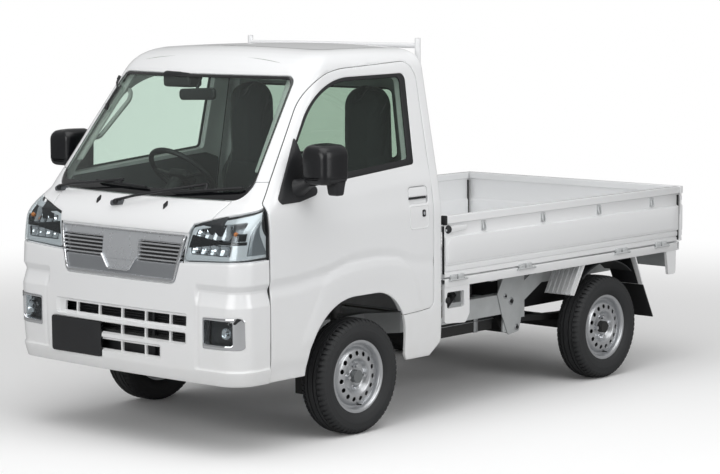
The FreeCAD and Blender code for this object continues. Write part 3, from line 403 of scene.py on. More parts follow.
def planPoint(s, z, insets=(0, 0, 0), corner=None):
    s, z = np.broadcast_arrays(np.asarray(s, float), np.asarray(z, float))
    side, s = np.where(s < 0, -1.0, 1.0), np.abs(s)
    width, cx, cy, bowY, bow, radius, touch, back = planShape(z, insets, corner)
    a, b, c, d, e = cab["stops"][1:]
    r = cab["backRadius"]
    arc = s / a * touch
    turn = touch + (s - a) / (b - a) * (math.pi / 2 - touch)
    along = cy + (s - b) / (c - b) * (back - r - cy)
    rear = (s - c) / (d - c) * math.pi / 2
    x = np.select([s <= a, s <= b, s <= c, s <= d],
        [bow * np.sin(arc), cx + radius * np.sin(turn), width, width - r + r
        * np.cos(rear)], (width - r) * (e - s) / (e - d))
    y = np.select([s <= a, s <= b, s <= c, s <= d], [bowY - bow * np.cos(arc), cy - radius
        * np.cos(turn), along, back - r + r * np.sin(rear)], back)
    return np.stack([x * side, y, z], -1)


def crown(x, y):
    # the roof's height, highest at its middle
    fallX, reachX, fallY, reachY, middle = cab["crown"]
    return (truck["roofMiddle"] - fallX * (x / reachX) ** 2 - fallY
        * ((y - middle) / reachY) ** 2)


def skinBase(s, t):
    s, t = np.broadcast_arrays(np.asarray(s, float), np.asarray(t, float))
    top = truck["shoulderZ"]
    wall = planPoint(s, np.minimum(t, top))
    if not np.any(t > top):
        return wall
    u = np.clip((t - top) / cab["roofBend"], 0, 1)[..., None]
    start = planPoint(s, np.full_like(t, top))
    high = crown(*planPoint(s, np.full_like(t, 1730))[..., :2].T).T
    corner = planPoint(s, high)
    end = planPoint(s, np.full_like(t, roofRim), cab["roofInset"], cab["roofCorner"])
    end[..., 2] = crown(end[..., 0], end[..., 1])
    bend = (1 - u) ** 2 * start + 2 * u * (1 - u) * corner + u * u * end
    return np.where(t[..., None] > top, bend, wall)


def skin(s, t, depth=0.0):
    # points a depth in mm below the skin
    s, t = np.asarray(s, float), np.asarray(t, float)
    here = skinBase(s, t)
    across = skinBase(s + 0.5, t) - skinBase(s - 0.5, t)
    up = skinBase(s, t + 0.5) - skinBase(s, t - 0.5)
    out = np.cross(across, up)
    out /= np.maximum(np.linalg.norm(out, axis=-1, keepdims=True), 1e-9)
    return here - out * np.asarray(depth, float)[..., None]


def sunk(depth):
    # the skin moved inward by a depth in mm
    return lambda s, t, extra=0.0: skin(s, t, np.asarray(extra) + depth)


def frontS(x, z):
    # s, t of front-view points
    x, z = np.asarray(x, float), np.asarray(z, float)
    side, x = np.where(x < 0, -1.0, 1.0), np.abs(x)
    _, cx, _, _, bow, radius, touch, _ = planShape(z)
    a, b = cab["stops"][1:3]
    arc = np.arcsin(np.clip(x / bow, -1, 1))
    turn = np.arcsin(np.clip((x - cx) / radius, -1, 1))
    s = np.where(arc <= touch, a * arc / touch, a + (b - a) * (turn - touch)
        / (math.pi / 2 - touch))
    return np.stack([s * side, z], -1)


def sideS(y, z, sign=1):
    # s, t of side-view points, on the left side for sign 1
    y, z = np.asarray(y, float), np.asarray(z, float)
    top = truck["shoulderZ"]
    low = np.minimum(z, top)
    _, _, cy, _, _, radius, touch, back = planShape(low)
    a, b, c, d = cab["stops"][1:5]
    r = cab["backRadius"]
    turn = np.arccos(np.clip((cy - y) / radius, -1, 1))
    s = np.where(y < cy, a + (b - a) * (turn - touch) / (math.pi / 2 - touch), b + (c - b)
        * (y - cy) / (back - r - cy))
    rear = np.arcsin(np.clip((y - back + r) / r, 0, 1))
    s = np.where(y > back - r, c + (d - c) * rear / (math.pi / 2), s)
    t = z.copy()
    for i in np.nonzero(z > top)[0]:
        steps = np.linspace(top, roofRim, 41)
        t[i] = np.interp(z[i], skinBase(np.full_like(steps, s[i]), steps)[:, 2], steps)
    return np.stack([s * sign, t], -1)


def inside(points, loop):
    # even-odd test of points against a closed loop
    x, y = points[:, 0][:, None], points[:, 1][:, None]
    ax, ay = loop[:, 0][None], loop[:, 1][None]
    bx, by = np.roll(loop[:, 0], -1)[None], np.roll(loop[:, 1], -1)[None]
    with np.errstate(divide="ignore", invalid="ignore"):
        crossing = (ay > y) != (by > y)
        crossing &= x < (bx - ax) * (y - ay) / (by - ay) + ax
    return crossing.sum(1) % 2 == 1


def loopDistance(points, loop):
    best = np.full(len(points), 1e9)
    start, end = loop, np.roll(loop, -1, 0)
    run = end - start
    square = np.maximum((run ** 2).sum(1), 1e-9)
    for i in range(0, len(points), 2000):
        part = points[i:i + 2000, None, :]
        share = np.clip(((part - start) * run).sum(-1) / square, 0, 1)
        gap = part - start - share[..., None] * run
        best[i:i + 2000] = np.sqrt((gap ** 2).sum(-1).min(1))
    return best


def cornerNormals(loop, least):
    # normals at the corners of a closed loop, a mean of both sides
    ahead = np.roll(loop, -1, 0) - loop
    ahead /= np.maximum(np.linalg.norm(ahead, axis=1, keepdims=True), 1e-9)
    normal = np.stack([-ahead[:, 1], ahead[:, 0]], 1)
    normal = normal + np.roll(normal, 1, 0)
    return normal / np.maximum(np.linalg.norm(normal, axis=1, keepdims=True), least)


def skinPanel(outer, holes=(), thick=12.0, edge=2.0, grid=(16, 16), rows=(), columns=(),
        relief=None, seams=(), mirror=False, place=skin):
    # A closed panel of the skin. outer and holes are loops in s, t. Edges on
    # a seam (a value of s) are left open, to be merged with the mirror half.
    loops = [np.asarray(outer, float)] + [np.asarray(h, float) for h in holes]

    def within(points):
        keep = inside(points, loops[0])
        for hole in loops[1:]:
            keep &= ~inside(points, hole)
        return keep

    def clearance(points):
        return np.minimum.reduce([loopDistance(points, loop) for loop in loops])

    points, depths, edges = [], [], []
    for loop in loops:
        start = len(points)
        points += [tuple(p) for p in loop]
        depths += [edge] * len(loop)
        edges += [(start + i, start + (i + 1) % len(loop)) for i in range(len(loop))]
    for loop in loops:
        normal = cornerNormals(loop, 0.6)
        for share in (0.3, 1.0):
            reach = edge * share
            drop = edge * (1 - math.sqrt(1 - (1 - share) ** 2))
            for side in (-1, 1):
                ring = loop + normal * reach * side
                good = within(ring) & (clearance(ring) > 0.85 * reach)
                points += [tuple(p) for p in ring[good]]
                depths += [drop] * int(good.sum())
    low, high = loops[0].min(0), loops[0].max(0)
    s, t = (np.unique(np.concatenate([np.arange(math.ceil(low[k] / grid[k]) * grid[k],
        high[k], grid[k]), extra])) for k, extra in enumerate((columns, rows)))
    mesh = np.stack(np.meshgrid(s, t), -1).reshape(-1, 2)
    mesh = mesh[within(mesh)]
    mesh = mesh[clearance(mesh) > edge + min(grid) * 0.22]
    points += [tuple(p) for p in mesh]
    depths += [0.0] * len(mesh)
    for seam in seams:
        # no rounding along an open seam
        depths = [0.0 if abs(abs(p[0]) - seam) < edge + 0.5
            and not any(abs(p[1] - end) < edge + 0.5 for end in seamEnds(loops, seam))
            else d for p, d in zip(points, depths)]
    flat, _, faces, origVerts, *_ = geometry.delaunay_2d_cdt([Vector(p) for p in points],
        edges, [], 0, 1e-4, True)
    flat = np.array([tuple(p) for p in flat])
    depth = np.array([min([depths[i] for i in ids] or [edge]) for ids in origVerts])
    faces = np.array([tuple(f) for f in faces])
    faces = faces[within(flat[faces].mean(1))]
    used = np.unique(faces)
    index = np.full(len(flat), -1)
    index[used] = np.arange(len(used))
    flat, depth, faces = flat[used], depth[used], index[faces]
    if relief is not None:
        depth = depth - relief(*flat.T, place(*flat.T))
    top = place(*flat.T, depth)
    bottom = place(*flat.T, thick + np.maximum(depth - edge, 0))
    corners = top[faces]
    facing = np.cross(corners[:, 1] - corners[:, 0], corners[:, 2] - corners[:, 0])
    outward = (facing * (top[faces[:, 0]] - bottom[faces[:, 0]])).sum(1)
    if outward.sum() < 0:
        faces = faces[:, ::-1]
    count = len(top)
    allFaces = [tuple(f) for f in faces] + [tuple(f[::-1] + count) for f in faces]
    halfEdges = dict.fromkeys(pair for a, b, c in faces
        for pair in ((a, b), (b, c), (c, a)))
    for a, b in halfEdges:
        if (b, a) in halfEdges:
            continue
        if any(abs(abs(flat[a, 0]) - v) < 0.05 and abs(abs(flat[b, 0]) - v) < 0.05
               for v in seams):
            continue
        allFaces.append((b, a, a + count, b + count))
    shape = np.concatenate([top, bottom]), allFaces
    if mirror:
        bm = toBmesh(joinShapes(shape, flipX(shape)))
        bmesh.ops.remove_doubles(bm, verts=bm.verts[:], dist=0.02)
        shape = fromBmesh(bm)
    return shape


def seamEnds(loops, seam):
    ends = []
    for loop in loops:
        on = loop[np.abs(np.abs(loop[:, 0]) - seam) < 0.05]
        if len(on):
            ends += [on[:, 1].min(), on[:, 1].max()]
    return ends


# repeats by Geometry Nodes

def repeatTree(name, turning):
    # the shape repeated along a step, or round an axis through a centre
    tree = bpy.data.node_groups.new(name, "GeometryNodeTree")
    face = tree.interface
    face.new_socket("Geometry", in_out="INPUT", socket_type="NodeSocketGeometry")
    for socket, kind in (("Count", "Int"), ("Start", "Vector"), ("Step", "Vector"),
            ("Material", "Material"), ("Weld", "Float")):
        face.new_socket(socket, in_out="INPUT", socket_type=f"NodeSocket{kind}")
    face.new_socket("Geometry", in_out="OUTPUT", socket_type="NodeSocketGeometry")
    given = addNode(tree, "NodeGroupInput").outputs
    line = addNode(tree, "GeometryNodeMeshLine", Count=given["Count"],
        Start_Location=given["Start"], Offset=(0.0, 0.0, 0.0) if turning
        else given["Step"])
    copies = addNode(tree, "GeometryNodeInstanceOnPoints", Points=line.outputs["Mesh"],
        Instance=given["Geometry"])
    if turning:
        place = addNode(tree, "GeometryNodeInputIndex")
        angle = addNode(tree, "ShaderNodeVectorMath", {"operation": "SCALE"},
            _0=given["Step"], Scale=place.outputs["Index"])
        tree.links.new(angle.outputs["Vector"], copies.inputs["Rotation"])
    real = addNode(tree, "GeometryNodeRealizeInstances",
        Geometry=copies.outputs["Instances"])
    joined = addNode(tree, "GeometryNodeMergeByDistance",
        Geometry=real.outputs["Geometry"], Distance=given["Weld"])
    coated = addNode(tree, "GeometryNodeSetMaterial", Geometry=joined.outputs["Geometry"],
        Material=given["Material"])
    addNode(tree, "NodeGroupOutput", Geometry=coated.outputs["Geometry"])
    return tree


repeatAlong = repeatTree("repeatAlong", False)
repeatAround = repeatTree("repeatAround", True)


def repeated(shape, material, tree, count, start, step, weld=0.0):
    # a shape run through a repeat tree; start in mm, step in mm or radians
    unit = newObject("repeatUnit", *shape)
    modifier = unit.modifiers.new("repeat", "NODES")
    modifier.node_group = tree
    scale = 1.0 if tree is repeatAround else mm
    values = {"Count": count, "Start": [v * mm for v in start],
              "Step": [v * scale for v in step], "Material": material,
              "Weld": weld * mm}
    for item in tree.interface.items_tree:
        if item.in_out == "INPUT" and item.name in values:
            modifier[item.identifier] = values[item.name]
    graph = bpy.context.evaluated_depsgraph_get()
    plain = bpy.data.meshes.new_from_object(unit.evaluated_get(graph))
    unit.modifiers.remove(modifier)
    shape = ([tuple(v.co / mm) for v in plain.vertices],
        [tuple(p.vertices) for p in plain.polygons])
    bpy.data.objects.remove(unit)
    return shape


# materials

def enamelPaint():
    # white two-pack enamel, sprayed and baked: bright, wet gloss, faint orange
    # peel a few mm across, a breath of road dust near the ground
    material, tree, place = newMaterial("whiteEnamel")
    height = addNode(tree, "ShaderNodeSeparateXYZ", Vector=place).outputs["Z"]
    low = addNode(tree, "ShaderNodeMapRange", Value=height, From_Min=0.75, From_Max=0.25,
        To_Min=0.0, To_Max=0.5)
    dust = addNode(tree, "ShaderNodeTexNoise", Vector=place, Scale=14.0, Detail=6.0)
    film = addNode(tree, "ShaderNodeMath", {"operation": "MULTIPLY"},
        _0=low.outputs["Result"], _1=dust.outputs["Fac"])
    colour = addNode(tree, "ShaderNodeMix", {"data_type": "RGBA"}, Factor=film.outputs[0],
        _6="#F2F3F4", _7="#E6E5E1")
    peel = addNode(tree, "ShaderNodeTexNoise", Vector=place, Scale=1000 / 3.0, Detail=2.0)
    bumps = addNode(tree, "ShaderNodeBump", Height=peel.outputs["Fac"], Strength=0.012,
        Distance=1.0 * mm)
    rough = addNode(tree, "ShaderNodeMapRange", Value=film.outputs[0], To_Min=0.28,
        To_Max=0.5)
    shader = addNode(tree, "ShaderNodeBsdfPrincipled", Base_Color=colour.outputs[2],
        Roughness=rough.outputs["Result"], Normal=bumps.outputs["Normal"],
        Coat_Weight=0.6, Coat_Roughness=0.04, Coat_IOR=1.5)
    finishMaterial(tree, shader.outputs["BSDF"])
    return material


def windowGlass(name, tint, share):
    # tempered float glass: green through its thickness, mirror-like at a slant
    material, tree, place = newMaterial(name)
    wave = addNode(tree, "ShaderNodeTexNoise", Vector=place, Scale=3.0, Detail=1.0)
    bumps = addNode(tree, "ShaderNodeBump", Height=wave.outputs["Fac"], Strength=0.02,
        Distance=2 * mm)
    clear = addNode(tree, "ShaderNodeBsdfTransparent", Color=tint)
    gloss = addNode(tree, "ShaderNodeBsdfGlossy", Color="#FFFFFF", Roughness=0.02,
        Normal=bumps.outputs["Normal"])
    slant = addNode(tree, "ShaderNodeLayerWeight", Blend=0.5,
        Normal=bumps.outputs["Normal"])
    steep = addNode(tree, "ShaderNodeMath", {"operation": "POWER"},
        _0=slant.outputs["Facing"], _1=5.0)
    film = addNode(tree, "ShaderNodeMath", {"operation": "MULTIPLY_ADD"},
        _0=steep.outputs[0], _1=0.85, _2=share)
    mixed = addNode(tree, "ShaderNodeMixShader", _0=film.outputs[0], _1=clear.outputs[0],
        _2=gloss.outputs[0])
    finishMaterial(tree, mixed.outputs[0])
    return material


paint = enamelPaint()
screenGlass = windowGlass("greenScreenGlass", "#F3F9F6", 0.035)
sideGlass = windowGlass("greenSideGlass", "#EFF6F1", 0.03)
# moulded polycarbonate: water-clear, a thin film of gloss
lensPlastic = windowGlass("clearPolycarbonate", "#F4F7F8", 0.02)
# EPDM seal: dead matt black, slightly waxy
rubber = surfaceFinish("blackRubber", "#17181A", "#202123", 0.62, grain=0.8, bump=0.1)
# textured polypropylene: fine leather-like grain, dark grey-black
darkPlastic = surfaceFinish("blackPolypropylene", "#1B1C1E", "#232427", 0.48, grain=1.2,
    bump=0.12)
# cast acrylic: black, glassy, no grain to speak of
glossPlastic = surfaceFinish("blackAcrylic", "#0C0D0F", "#121316", 0.12, coat=0.4,
    grain=2.0, bump=0.01)
# the same polypropylene in mid grey
greyPlastic = surfaceFinish("greyPolypropylene", "#55585B", "#5E6164", 0.55, grain=1.2,
    bump=0.12)
# felted headliner: pale, matt, slightly fibrous
paleTrim = surfaceFinish("greyHeadliner", "#A9ABA8", "#B4B6B3", 0.8, grain=1.5, bump=0.15)
# plated ABS: a bright mirror with a trace of haze
chrome = surfaceFinish("chromePlate", "#E4E6E8", "#D9DBDE", 0.08, metallic=1.0, grain=3.0,
    bump=0.004)
# satin silver plating: blurred reflections, a little darker
satinSilver = surfaceFinish("satinPlate", "#D3D6D9", "#C6C9CD", 0.27, metallic=0.6,
    grain=0.6, bump=0.03)
# the same plating over a darker base coat
darkSilver = surfaceFinish("darkSatinPlate", "#A2A5A9", "#979A9E", 0.32, metallic=0.65,
    grain=0.6, bump=0.03)
# wheel enamel: aluminium flake in clear lacquer, even and slightly grainy
wheelSilver = surfaceFinish("silverWheelEnamel", "#C9CBCD", "#BDBFC2", 0.3, metallic=0.75,
    grain=0.7, bump=0.04)
# zinc plate on pressed steel: pale, faintly blotched
zincSteel = surfaceFinish("zincPlatedSteel", "#C2C5C6", "#AFB2B4", 0.34, metallic=0.9,
    grain=1.0, bump=0.05, patch=25)
# chassis black: brushed-on wax over enamel, dull with dust
chassisBlack = surfaceFinish("chassisEnamel", "#1E1F20", "#2D2D2C", 0.55, grain=2.0,
    bump=0.15, patch=60)
# sand-cast aluminium: dull grey, pitted, stained in patches
castGrey = surfaceFinish("castAluminium", "#8E9192", "#7C7F80", 0.5, metallic=0.7,
    grain=1.5, bump=0.25, patch=40)


# cab panels

def atFront(x, z, *radius):
    return (*frontS([x], [z])[0], *radius)


def atSide(y, z, *radius):
    return (*sideS([y], [z])[0], *radius)


def onSide(outline, side=1):
    # a side-view outline in s, t
    return sideS(*outline.T) * (side, 1)


def frontLoop(corners, step=12):
    return frontS(*roundCorners(corners, step).T)


def bothSides(corners):
    return corners + [(-c[0], *c[1:]) for c in reversed(corners)]


def shrunk(outline, gap):
    # a closed outline drawn in by gap
    area = (outline[:, 0] * np.roll(outline[:, 1], -1) - outline[:, 1]
        * np.roll(outline[:, 0], -1)).sum()
    return outline + cornerNormals(outline, 1e-9) * gap * (1 if area > 0 else -1)


def ramp(value, low, high):
    u = np.clip((np.asarray(value, float) - low) / (high - low), 0, 1)
    return u * u * (3 - 2 * u)


lines = {
    "doorLead": -1472.0, "leadGap": 7.0, "doorGap": 5.0, "lower": 318.0,
    "door": [(-1472, 200, 0), (-1472, 1094, 50), (-1070, 1652, 430),
             (-372, 1684, 95), (-372, 528, 45), (-753, 506, 0), (-753, 200, 0)],
    "arch": [(-1240, 100, 0), (-1240, 640, 328), (-575, 640, 205), (-575, 100, 0)],
    "window": [(-1385, 1136, 15), (-1048, 1617, 420), (-449, 1625, 32),
               (-476, 1206, 16)],
    "pane": [(-1360, 1166, 12), (-1036, 1600, 405), (-489, 1607, 22),
             (-513, 1233, 14)],
    "handle": [(-544, 1024, 12), (-544, 1104, 22), (-407, 1104, 22),
               (-407, 1024, 12)],
    "screen": [(636, 1108, 70), (560, 1634, 45)],
}
leadZ = [318, 420, 520, 620, 720, 800, 858]
doorOutline = roundCorners(lines["door"], 10)
archOutline = roundCorners(lines["arch"], 10)
windowOutline = roundCorners(lines["window"], 8)
paneOutline = roundCorners(lines["pane"], 8)
handleOutline = roundCorners(lines["handle"], 6)
screenOutline = roundCorners(bothSides(lines["screen"]), 10)
doorHole, archHole = onSide(doorOutline), onSide(archOutline)
screenHole = frontS(*screenOutline.T)
lamp = {
    "top": [(428, 1006), (560, 1038), (700, 1071)], "topRear": 1081.0,
    "bottom": [(700, 857), (396, 842)], "bottomRear": 862.0,
}
grille = {"top": (417, 964), "bottom": (358, 744), "slatX": (118, 392),
          "slatZ": (832, 916), "slats": 5}
lead = lines["doorLead"]


def lampLoop(gap=0.0):
    top = [atFront(x, z - gap) for x, z in lamp["top"]]
    low = [atFront(x, z + gap) for x, z in lamp["bottom"]]
    return ([(top[0][0] + gap, top[0][1], 12), *top[1:],
        atSide(lead - gap, lamp["topRear"] - gap), atSide(lead - gap, 960),
        atSide(lead - gap, lamp["bottomRear"] + gap)]
        + [low[0], (low[1][0] + gap, low[1][1], 12)])


def bumperRelief(s, t, place):
    # outward in mm: corner blocks with a tucked band and ledge, and a lip
    x = np.abs(place[:, 0])
    outer = ramp(x, 478, 494)
    blockFace = np.interp(t, [318, 374, 382, 388, 392, 660, 722, 728, 756, 764],
        [1, 8, 8, 2, 1, 3, -13, -13, 0, 0])
    middle = np.interp(t, [318, 374, 400, 640], [0.5, 6.8, 6, 0])
    valley = -3 * np.exp(-((x - 500) / 7) ** 2) * ramp(t, 384, 396) * ramp(t, 720, 700)
    return outer * blockFace + (1 - outer) * middle + valley + intakeRelief(place)


def makeBumper():
    half = [atFront(300, 741), atFront(358, 741, 30), atFront(386, 838),
        atFront(398, 838), atFront(700, 853), atSide(lead, 858)]
    half += [atSide(lead, z) for z in reversed(leadZ[1:-1])] + [atSide(lead, 318)]
    outer = roundCorners(bothSides(half), 12)
    holes = list(cellLoops())
    for side in (1, -1):
        holes.append(frontLoop([(531 * side, 613, 8), (726 * side, 619, 15),
            (726 * side, 480, 15), (531 * side, 478, 8)], 8))
    sharpRows = [322, 374, 378, 382, 385, 388, 392, 400, 404, 409, 460, 468, 482, 487,
        537, 549, 554, 613, 621, 655, 660, 666, 716, 722, 728, 734, 750, 756, 760, 764,
        770]
    sharpColumns = [v * side for side in (1, -1)
        for v in (*(atFront(x, 600)[0] for x in (474, 482, 490, 496, 503, 510, 518)),
        *range(610, 765, 10))]
    shape = skinPanel(outer, holes, 12, 1.8, (12, 14), sharpRows, sharpColumns,
        bumperRelief)
    addPiece("bumperCover", *shape, paint, replaced=("front_bumper",))
    print("bumper", len(shape[0]))


def makeUpperShell():
    # roof ring, pillars, side frame and back, pressed and welded as one
    outer = roundCorners([(0, 1187), (0, roofRim), (2700, roofRim), (2700, 488),
        (2190, 488), (2150, 400), (2100, 383), atSide(-397, 302), atSide(-560, 302),
        atSide(-800, 700), atSide(-1250, 1187)], 16)
    rear = roundCorners([(0, 1190), (500, 1190, 45), (455, 1560, 45), (0, 1560)], 10)
    width = planShape(rear[:, 1])[0] - cab["backRadius"]
    rearHole = np.stack([2100 + 600 * (1 - rear[:, 0] / width), rear[:, 1]], 1)
    shape = skinPanel(outer, [doorHole, screenHole, archHole, rearHole], 14, 3.0,
        (18, 16), (1640, 1652, 1666, 1684, 1700, 1716, 1730),
        [*range(600, 765, 12), 2060, 2068, 2076, 2084, 2092, 2100], seams=(0, 2700),
        mirror=True)
    addPiece("upperShell", *shape, paint, replaced=("roof_panel", "back_panel",
        "cab_pillars"))
    print("upper shell", len(shape[0]))


def makeRoofSkin():
    # the crowned middle of the roof, on the rim that the shell ends in
    rim = np.concatenate([np.arange(0, 600, 30), np.arange(600, 760, 10),
        np.arange(760, 2060, 30), np.arange(2060, 2100, 8), np.arange(2100, 2700, 30)])
    rim = np.concatenate([rim, [2700], -rim[:0:-1]])
    edge = skinBase(rim, np.full_like(rim, roofRim))
    flat = edge[:, :2]
    grid = np.stack(np.meshgrid(np.arange(-600, 601, 28), np.arange(-1100, -320, 28)),
        -1).reshape(-1, 2)
    grid = grid[inside(grid, flat)]
    grid = grid[loopDistance(grid, flat) > 10]
    points = [Vector(p) for p in np.concatenate([flat, grid])]
    edges = [(i, (i + 1) % len(flat)) for i in range(len(flat))]
    flatter, _, faces, *_ = geometry.delaunay_2d_cdt(points, edges, [], 1, 1e-4, True)
    xy = np.array([tuple(p) for p in flatter])
    top = np.column_stack([xy, crown(xy[:, 0], xy[:, 1])])
    faces = np.array([tuple(f) for f in faces])
    normal = np.cross(top[faces[0, 1]] - top[faces[0, 0]], top[faces[0, 2]]
        - top[faces[0, 0]])
    if normal[2] < 0:
        faces = faces[:, ::-1]
    count = len(top)
    bottom = top - np.array([0, 0, 14])
    both = [tuple(f) for f in faces] + [tuple(f[::-1] + count) for f in faces]
    addPiece("roofSkin", np.concatenate([top, bottom]), both, paint)


def makeHoodAndFenders():
    half = [atFront(300, 968), atFront(420, 968), atFront(437, 1009), atFront(523, 1031),
        atFront(552, 1104)]
    hood = roundCorners(bothSides(half), 12)
    shape = skinPanel(hood, (), 12, 2.2, (18, 12))
    addPiece("hood", *shape, paint, replaced=("hood_panel",))
    for side, name in sideNames:
        sill = [atFront(528, 1033), *[atFront(x, z + 3) for x, z in lamp["top"][1:]],
            atSide(lead, lamp["topRear"] + 3), atSide(-1300, 1100), atSide(-1300, 1184),
            atFront(590, 1184), atFront(500, 1184), atFront(500, 1110),
            atFront(557, 1104)]
        outer = roundCorners(sill, 10) * (side, 1)
        shape = skinPanel(outer, [doorHole * (side, 1), screenHole], 12, 2.0, (14, 12),
            columns=[c * side for c in range(610, 765, 10)])
        addPiece(f"fender{name}", *shape, paint, replaced=leftOnly(side, "front_fenders"))
    print("hood and fenders")


doorRidge = {
    # side view: y, height of the tucked band over the arch, its depth
    "line": [(-1472, 750, 9), (-1299, 757, 9), (-1107, 780, 8), (-1020, 800, 8),
             (-956, 814, 7), (-860, 822, 6), (-779, 824, 6), (-700, 820, 5),
             (-621, 808, 5), (-560, 788, 4), (-498, 768, 4), (-372, 766, 3)],
    "flare": [(-1284, 440), (-1240, 528), (-1200, 598), (-1130, 722), (-1072, 764),
              (-956, 792), (-779, 799), (-621, 784), (-547, 742), (-486, 655),
              (-461, 560)],
    "crease": [(-1472, 418), (-1200, 402)],
    "belt": [(-1472, 1042), (-1172, 1069), (-372, 1135)],
}


def doorRelief(s, t, place):
    y, z = place[:, 1], place[:, 2]
    row = np.array(doorRidge["line"], float)
    height, depth = (np.interp(y, row[:, 0], row[:, k]) for k in (1, 2))
    below = z - height
    tuck = -depth * np.interp(below, [-62, -24, -14, 20, 26], [0, 1, 1, 0, 0])
    path = np.array(doorRidge["flare"], float)
    best = np.full(len(y), 1e9)
    signed = np.zeros(len(y))
    here = np.stack([y, z], 1)
    for a, b in zip(path, path[1:]):
        run = b - a
        share = np.clip(((here - a) @ run) / (run @ run), 0, 1)
        gap = here - a - share[:, None] * run
        size = np.linalg.norm(gap, axis=1)
        near = size < best
        best[near] = size[near]
        signed[near] = np.sign(run[0] * gap[:, 1] - run[1] * gap[:, 0])[near] * size[near]
    leg = ramp(z, 430, 480) * ramp(np.abs(y + 850), 480, 440)
    flare = 3.5 * ramp(-signed, -9, 9) * leg * ramp(-signed, 150, 60)
    groove = -2.0 * np.exp(-(signed / 9) ** 2) * leg * ramp(z, 800, 700)
    creaseZ = np.interp(y, *np.array(doorRidge["crease"], float).T)
    under = -6 * ramp(z, creaseZ + 4, creaseZ - 60) * (y < -1000)
    beltZ = np.interp(y, *np.array(doorRidge["belt"], float).T)
    belt = 3.0 * np.clip(1 - np.abs(z - beltZ) / 70, 0, 1)
    return tuck + flare + groove + under + belt


def makeDoorSkin(side, name):
    gap = lines["doorGap"] / 2
    outline = shrunk(doorOutline, gap)
    outline[:, 0] = np.maximum(outline[:, 0], lead + lines["leadGap"])
    outline[:, 1] = np.maximum(outline[:, 1], lines["lower"])
    keep = [0]
    for i in range(1, len(outline)):
        if np.linalg.norm(outline[i] - outline[keep[-1]]) > 1.0:
            keep.append(i)
    outline = outline[keep]
    holes = [archHole * (side, 1), onSide(windowOutline, side),
        onSide(handleOutline, side)]
    ridge = [v for z in (752, 790, 814) for v in (z - 20, z, z + 20)]
    shape = skinPanel(onSide(outline, side), holes, 9, 2.4, (15, 12), ridge, (),
        doorRelief)
    addPiece(f"doorSkin{name}", *shape, paint, f"door_{name.lower()}",
        replaced=(f"door_{name.lower()}",))


def makeGlass():
    inner = frontLoop(bothSides([(622, 1142, 58), (551, 1619, 36)]), 12)
    outer = frontS(*shrunk(screenOutline, 2.5).T)
    glass = skinPanel(outer, (), 5, 0.8, (30, 30), place=sunk(4.5))
    addPiece("windshield", *glass, screenGlass, replaced=("cab_glass",))
    frit = skinPanel(outer, [inner], 1.2, 0.3, (24, 24), place=sunk(3.2))
    addPiece("windshieldBorder", *frit, glossPlastic)
    for side, name in sideNames:
        rim = skinPanel(onSide(shrunk(windowOutline, 0.5), side),
            [onSide(paneOutline, side)], 7, 1.6, (30, 30), place=sunk(0.5))
        addPiece(f"windowSeal{name}", *rim, rubber, f"door_{name.lower()}")
        pane = onSide(shrunk(windowOutline, 10), side)
        glass = skinPanel(pane, (), 4, 0.6, (40, 40), place=sunk(8.5))
        addPiece(f"doorGlass{name}", *glass, sideGlass, f"door_{name.lower()}",
            replaced=(f"door_glass_{name.lower()}",))
    print("glass")


makeUpperShell()
makeRoofSkin()
makeHoodAndFenders()
for doorSide in sideNames:
    makeDoorSkin(*doorSide)
makeGlass()


# intake, grille, lamps and plate

intake = {
    # rows of cells: low, high, and where the uprights stand
    "rows": [(563, 606, [-374, -290, -136, 17, 171, 325, 421]),
             (489, 532, [-420, -290, -136, 17, 171, 325, 421]),
             (412, 455, [-266, -136, 17, 171, 266])],
    "recess": [(-426, 437, 549, 621), (-428, 430, 482, 537), (-276, 274, 404, 468)],
    "depth": 13.0, "upright": 10.0,
}
plate = {"x": (-446, -108), "z": (374, 536), "corner": 14, "seat": 14.0}
fog = {"lens": (537, 690, 499, 603), "bezel": (530, 727, 478, 620)}


def intakeRelief(place):
    x, z = place[:, 0], place[:, 2]
    depth = np.zeros(len(x))
    for left, right, low, high in intake["recess"]:
        shaped = (ramp(x, left, left + 12) * ramp(x, right, right - 12)
            * ramp(z, low, low + 5) * ramp(z, high, high - 8))
        depth = np.maximum(depth, shaped)
    # the bumper is pressed in where the number plate is screwed on
    (left, right), (low, high) = plate["x"], plate["z"]
    seat = (ramp(x, left - 2, left + 6) * ramp(x, right + 2, right - 6)
        * ramp(z, low - 2, low + 4) * ramp(z, high + 2, high - 4))
    return -np.maximum(intake["depth"] * depth, plate["seat"] * seat)


def cellLoops():
    half = intake["upright"] / 2
    for low, high, posts in intake["rows"]:
        for left, right in zip(posts, posts[1:]):
            a = left + (0 if left == posts[0] else half)
            b = right - (0 if right == posts[-1] else half)
            yield frontLoop([(a, low, 3), (b, low, 3), (b, high, 3), (a, high, 3)], 8)


def makePlate():
    (left, right), (low, high) = plate["x"], plate["z"]
    corner = plate["corner"]
    outline = roundCorners([(left, low, corner), (right, low, corner),
        (right, high, corner), (left, high, corner)], 5)
    face = prism(outline, "y", -1697.0, -1682, 1.2)
    addPiece("frontPlate", *face, glossPlastic, replaced=("number_plates",))
    inner = prism(shrunk(outline, 5), "y", -1697.4, -1695, 0.6)
    addPiece("frontPlateFace", *inner, darkPlastic)


def makeIntakeBack():
    core = [block((-430, -1628, z), (430, -1612, z + 5), 1.5)
        for z in range(400, 624, 12)]
    tanks = [block((-446, -1634, 392), (-428, -1604, 630), 4),
        block((428, -1634, 392), (446, -1604, 630), 4),
        block((180, -1650, 400), (196, -1634, 620), 3),
        block((-440, -1610, 392), (440, -1606, 630), 1)]
    addPiece("condenserCore", *joinShapes(*core, *tanks), darkPlastic)


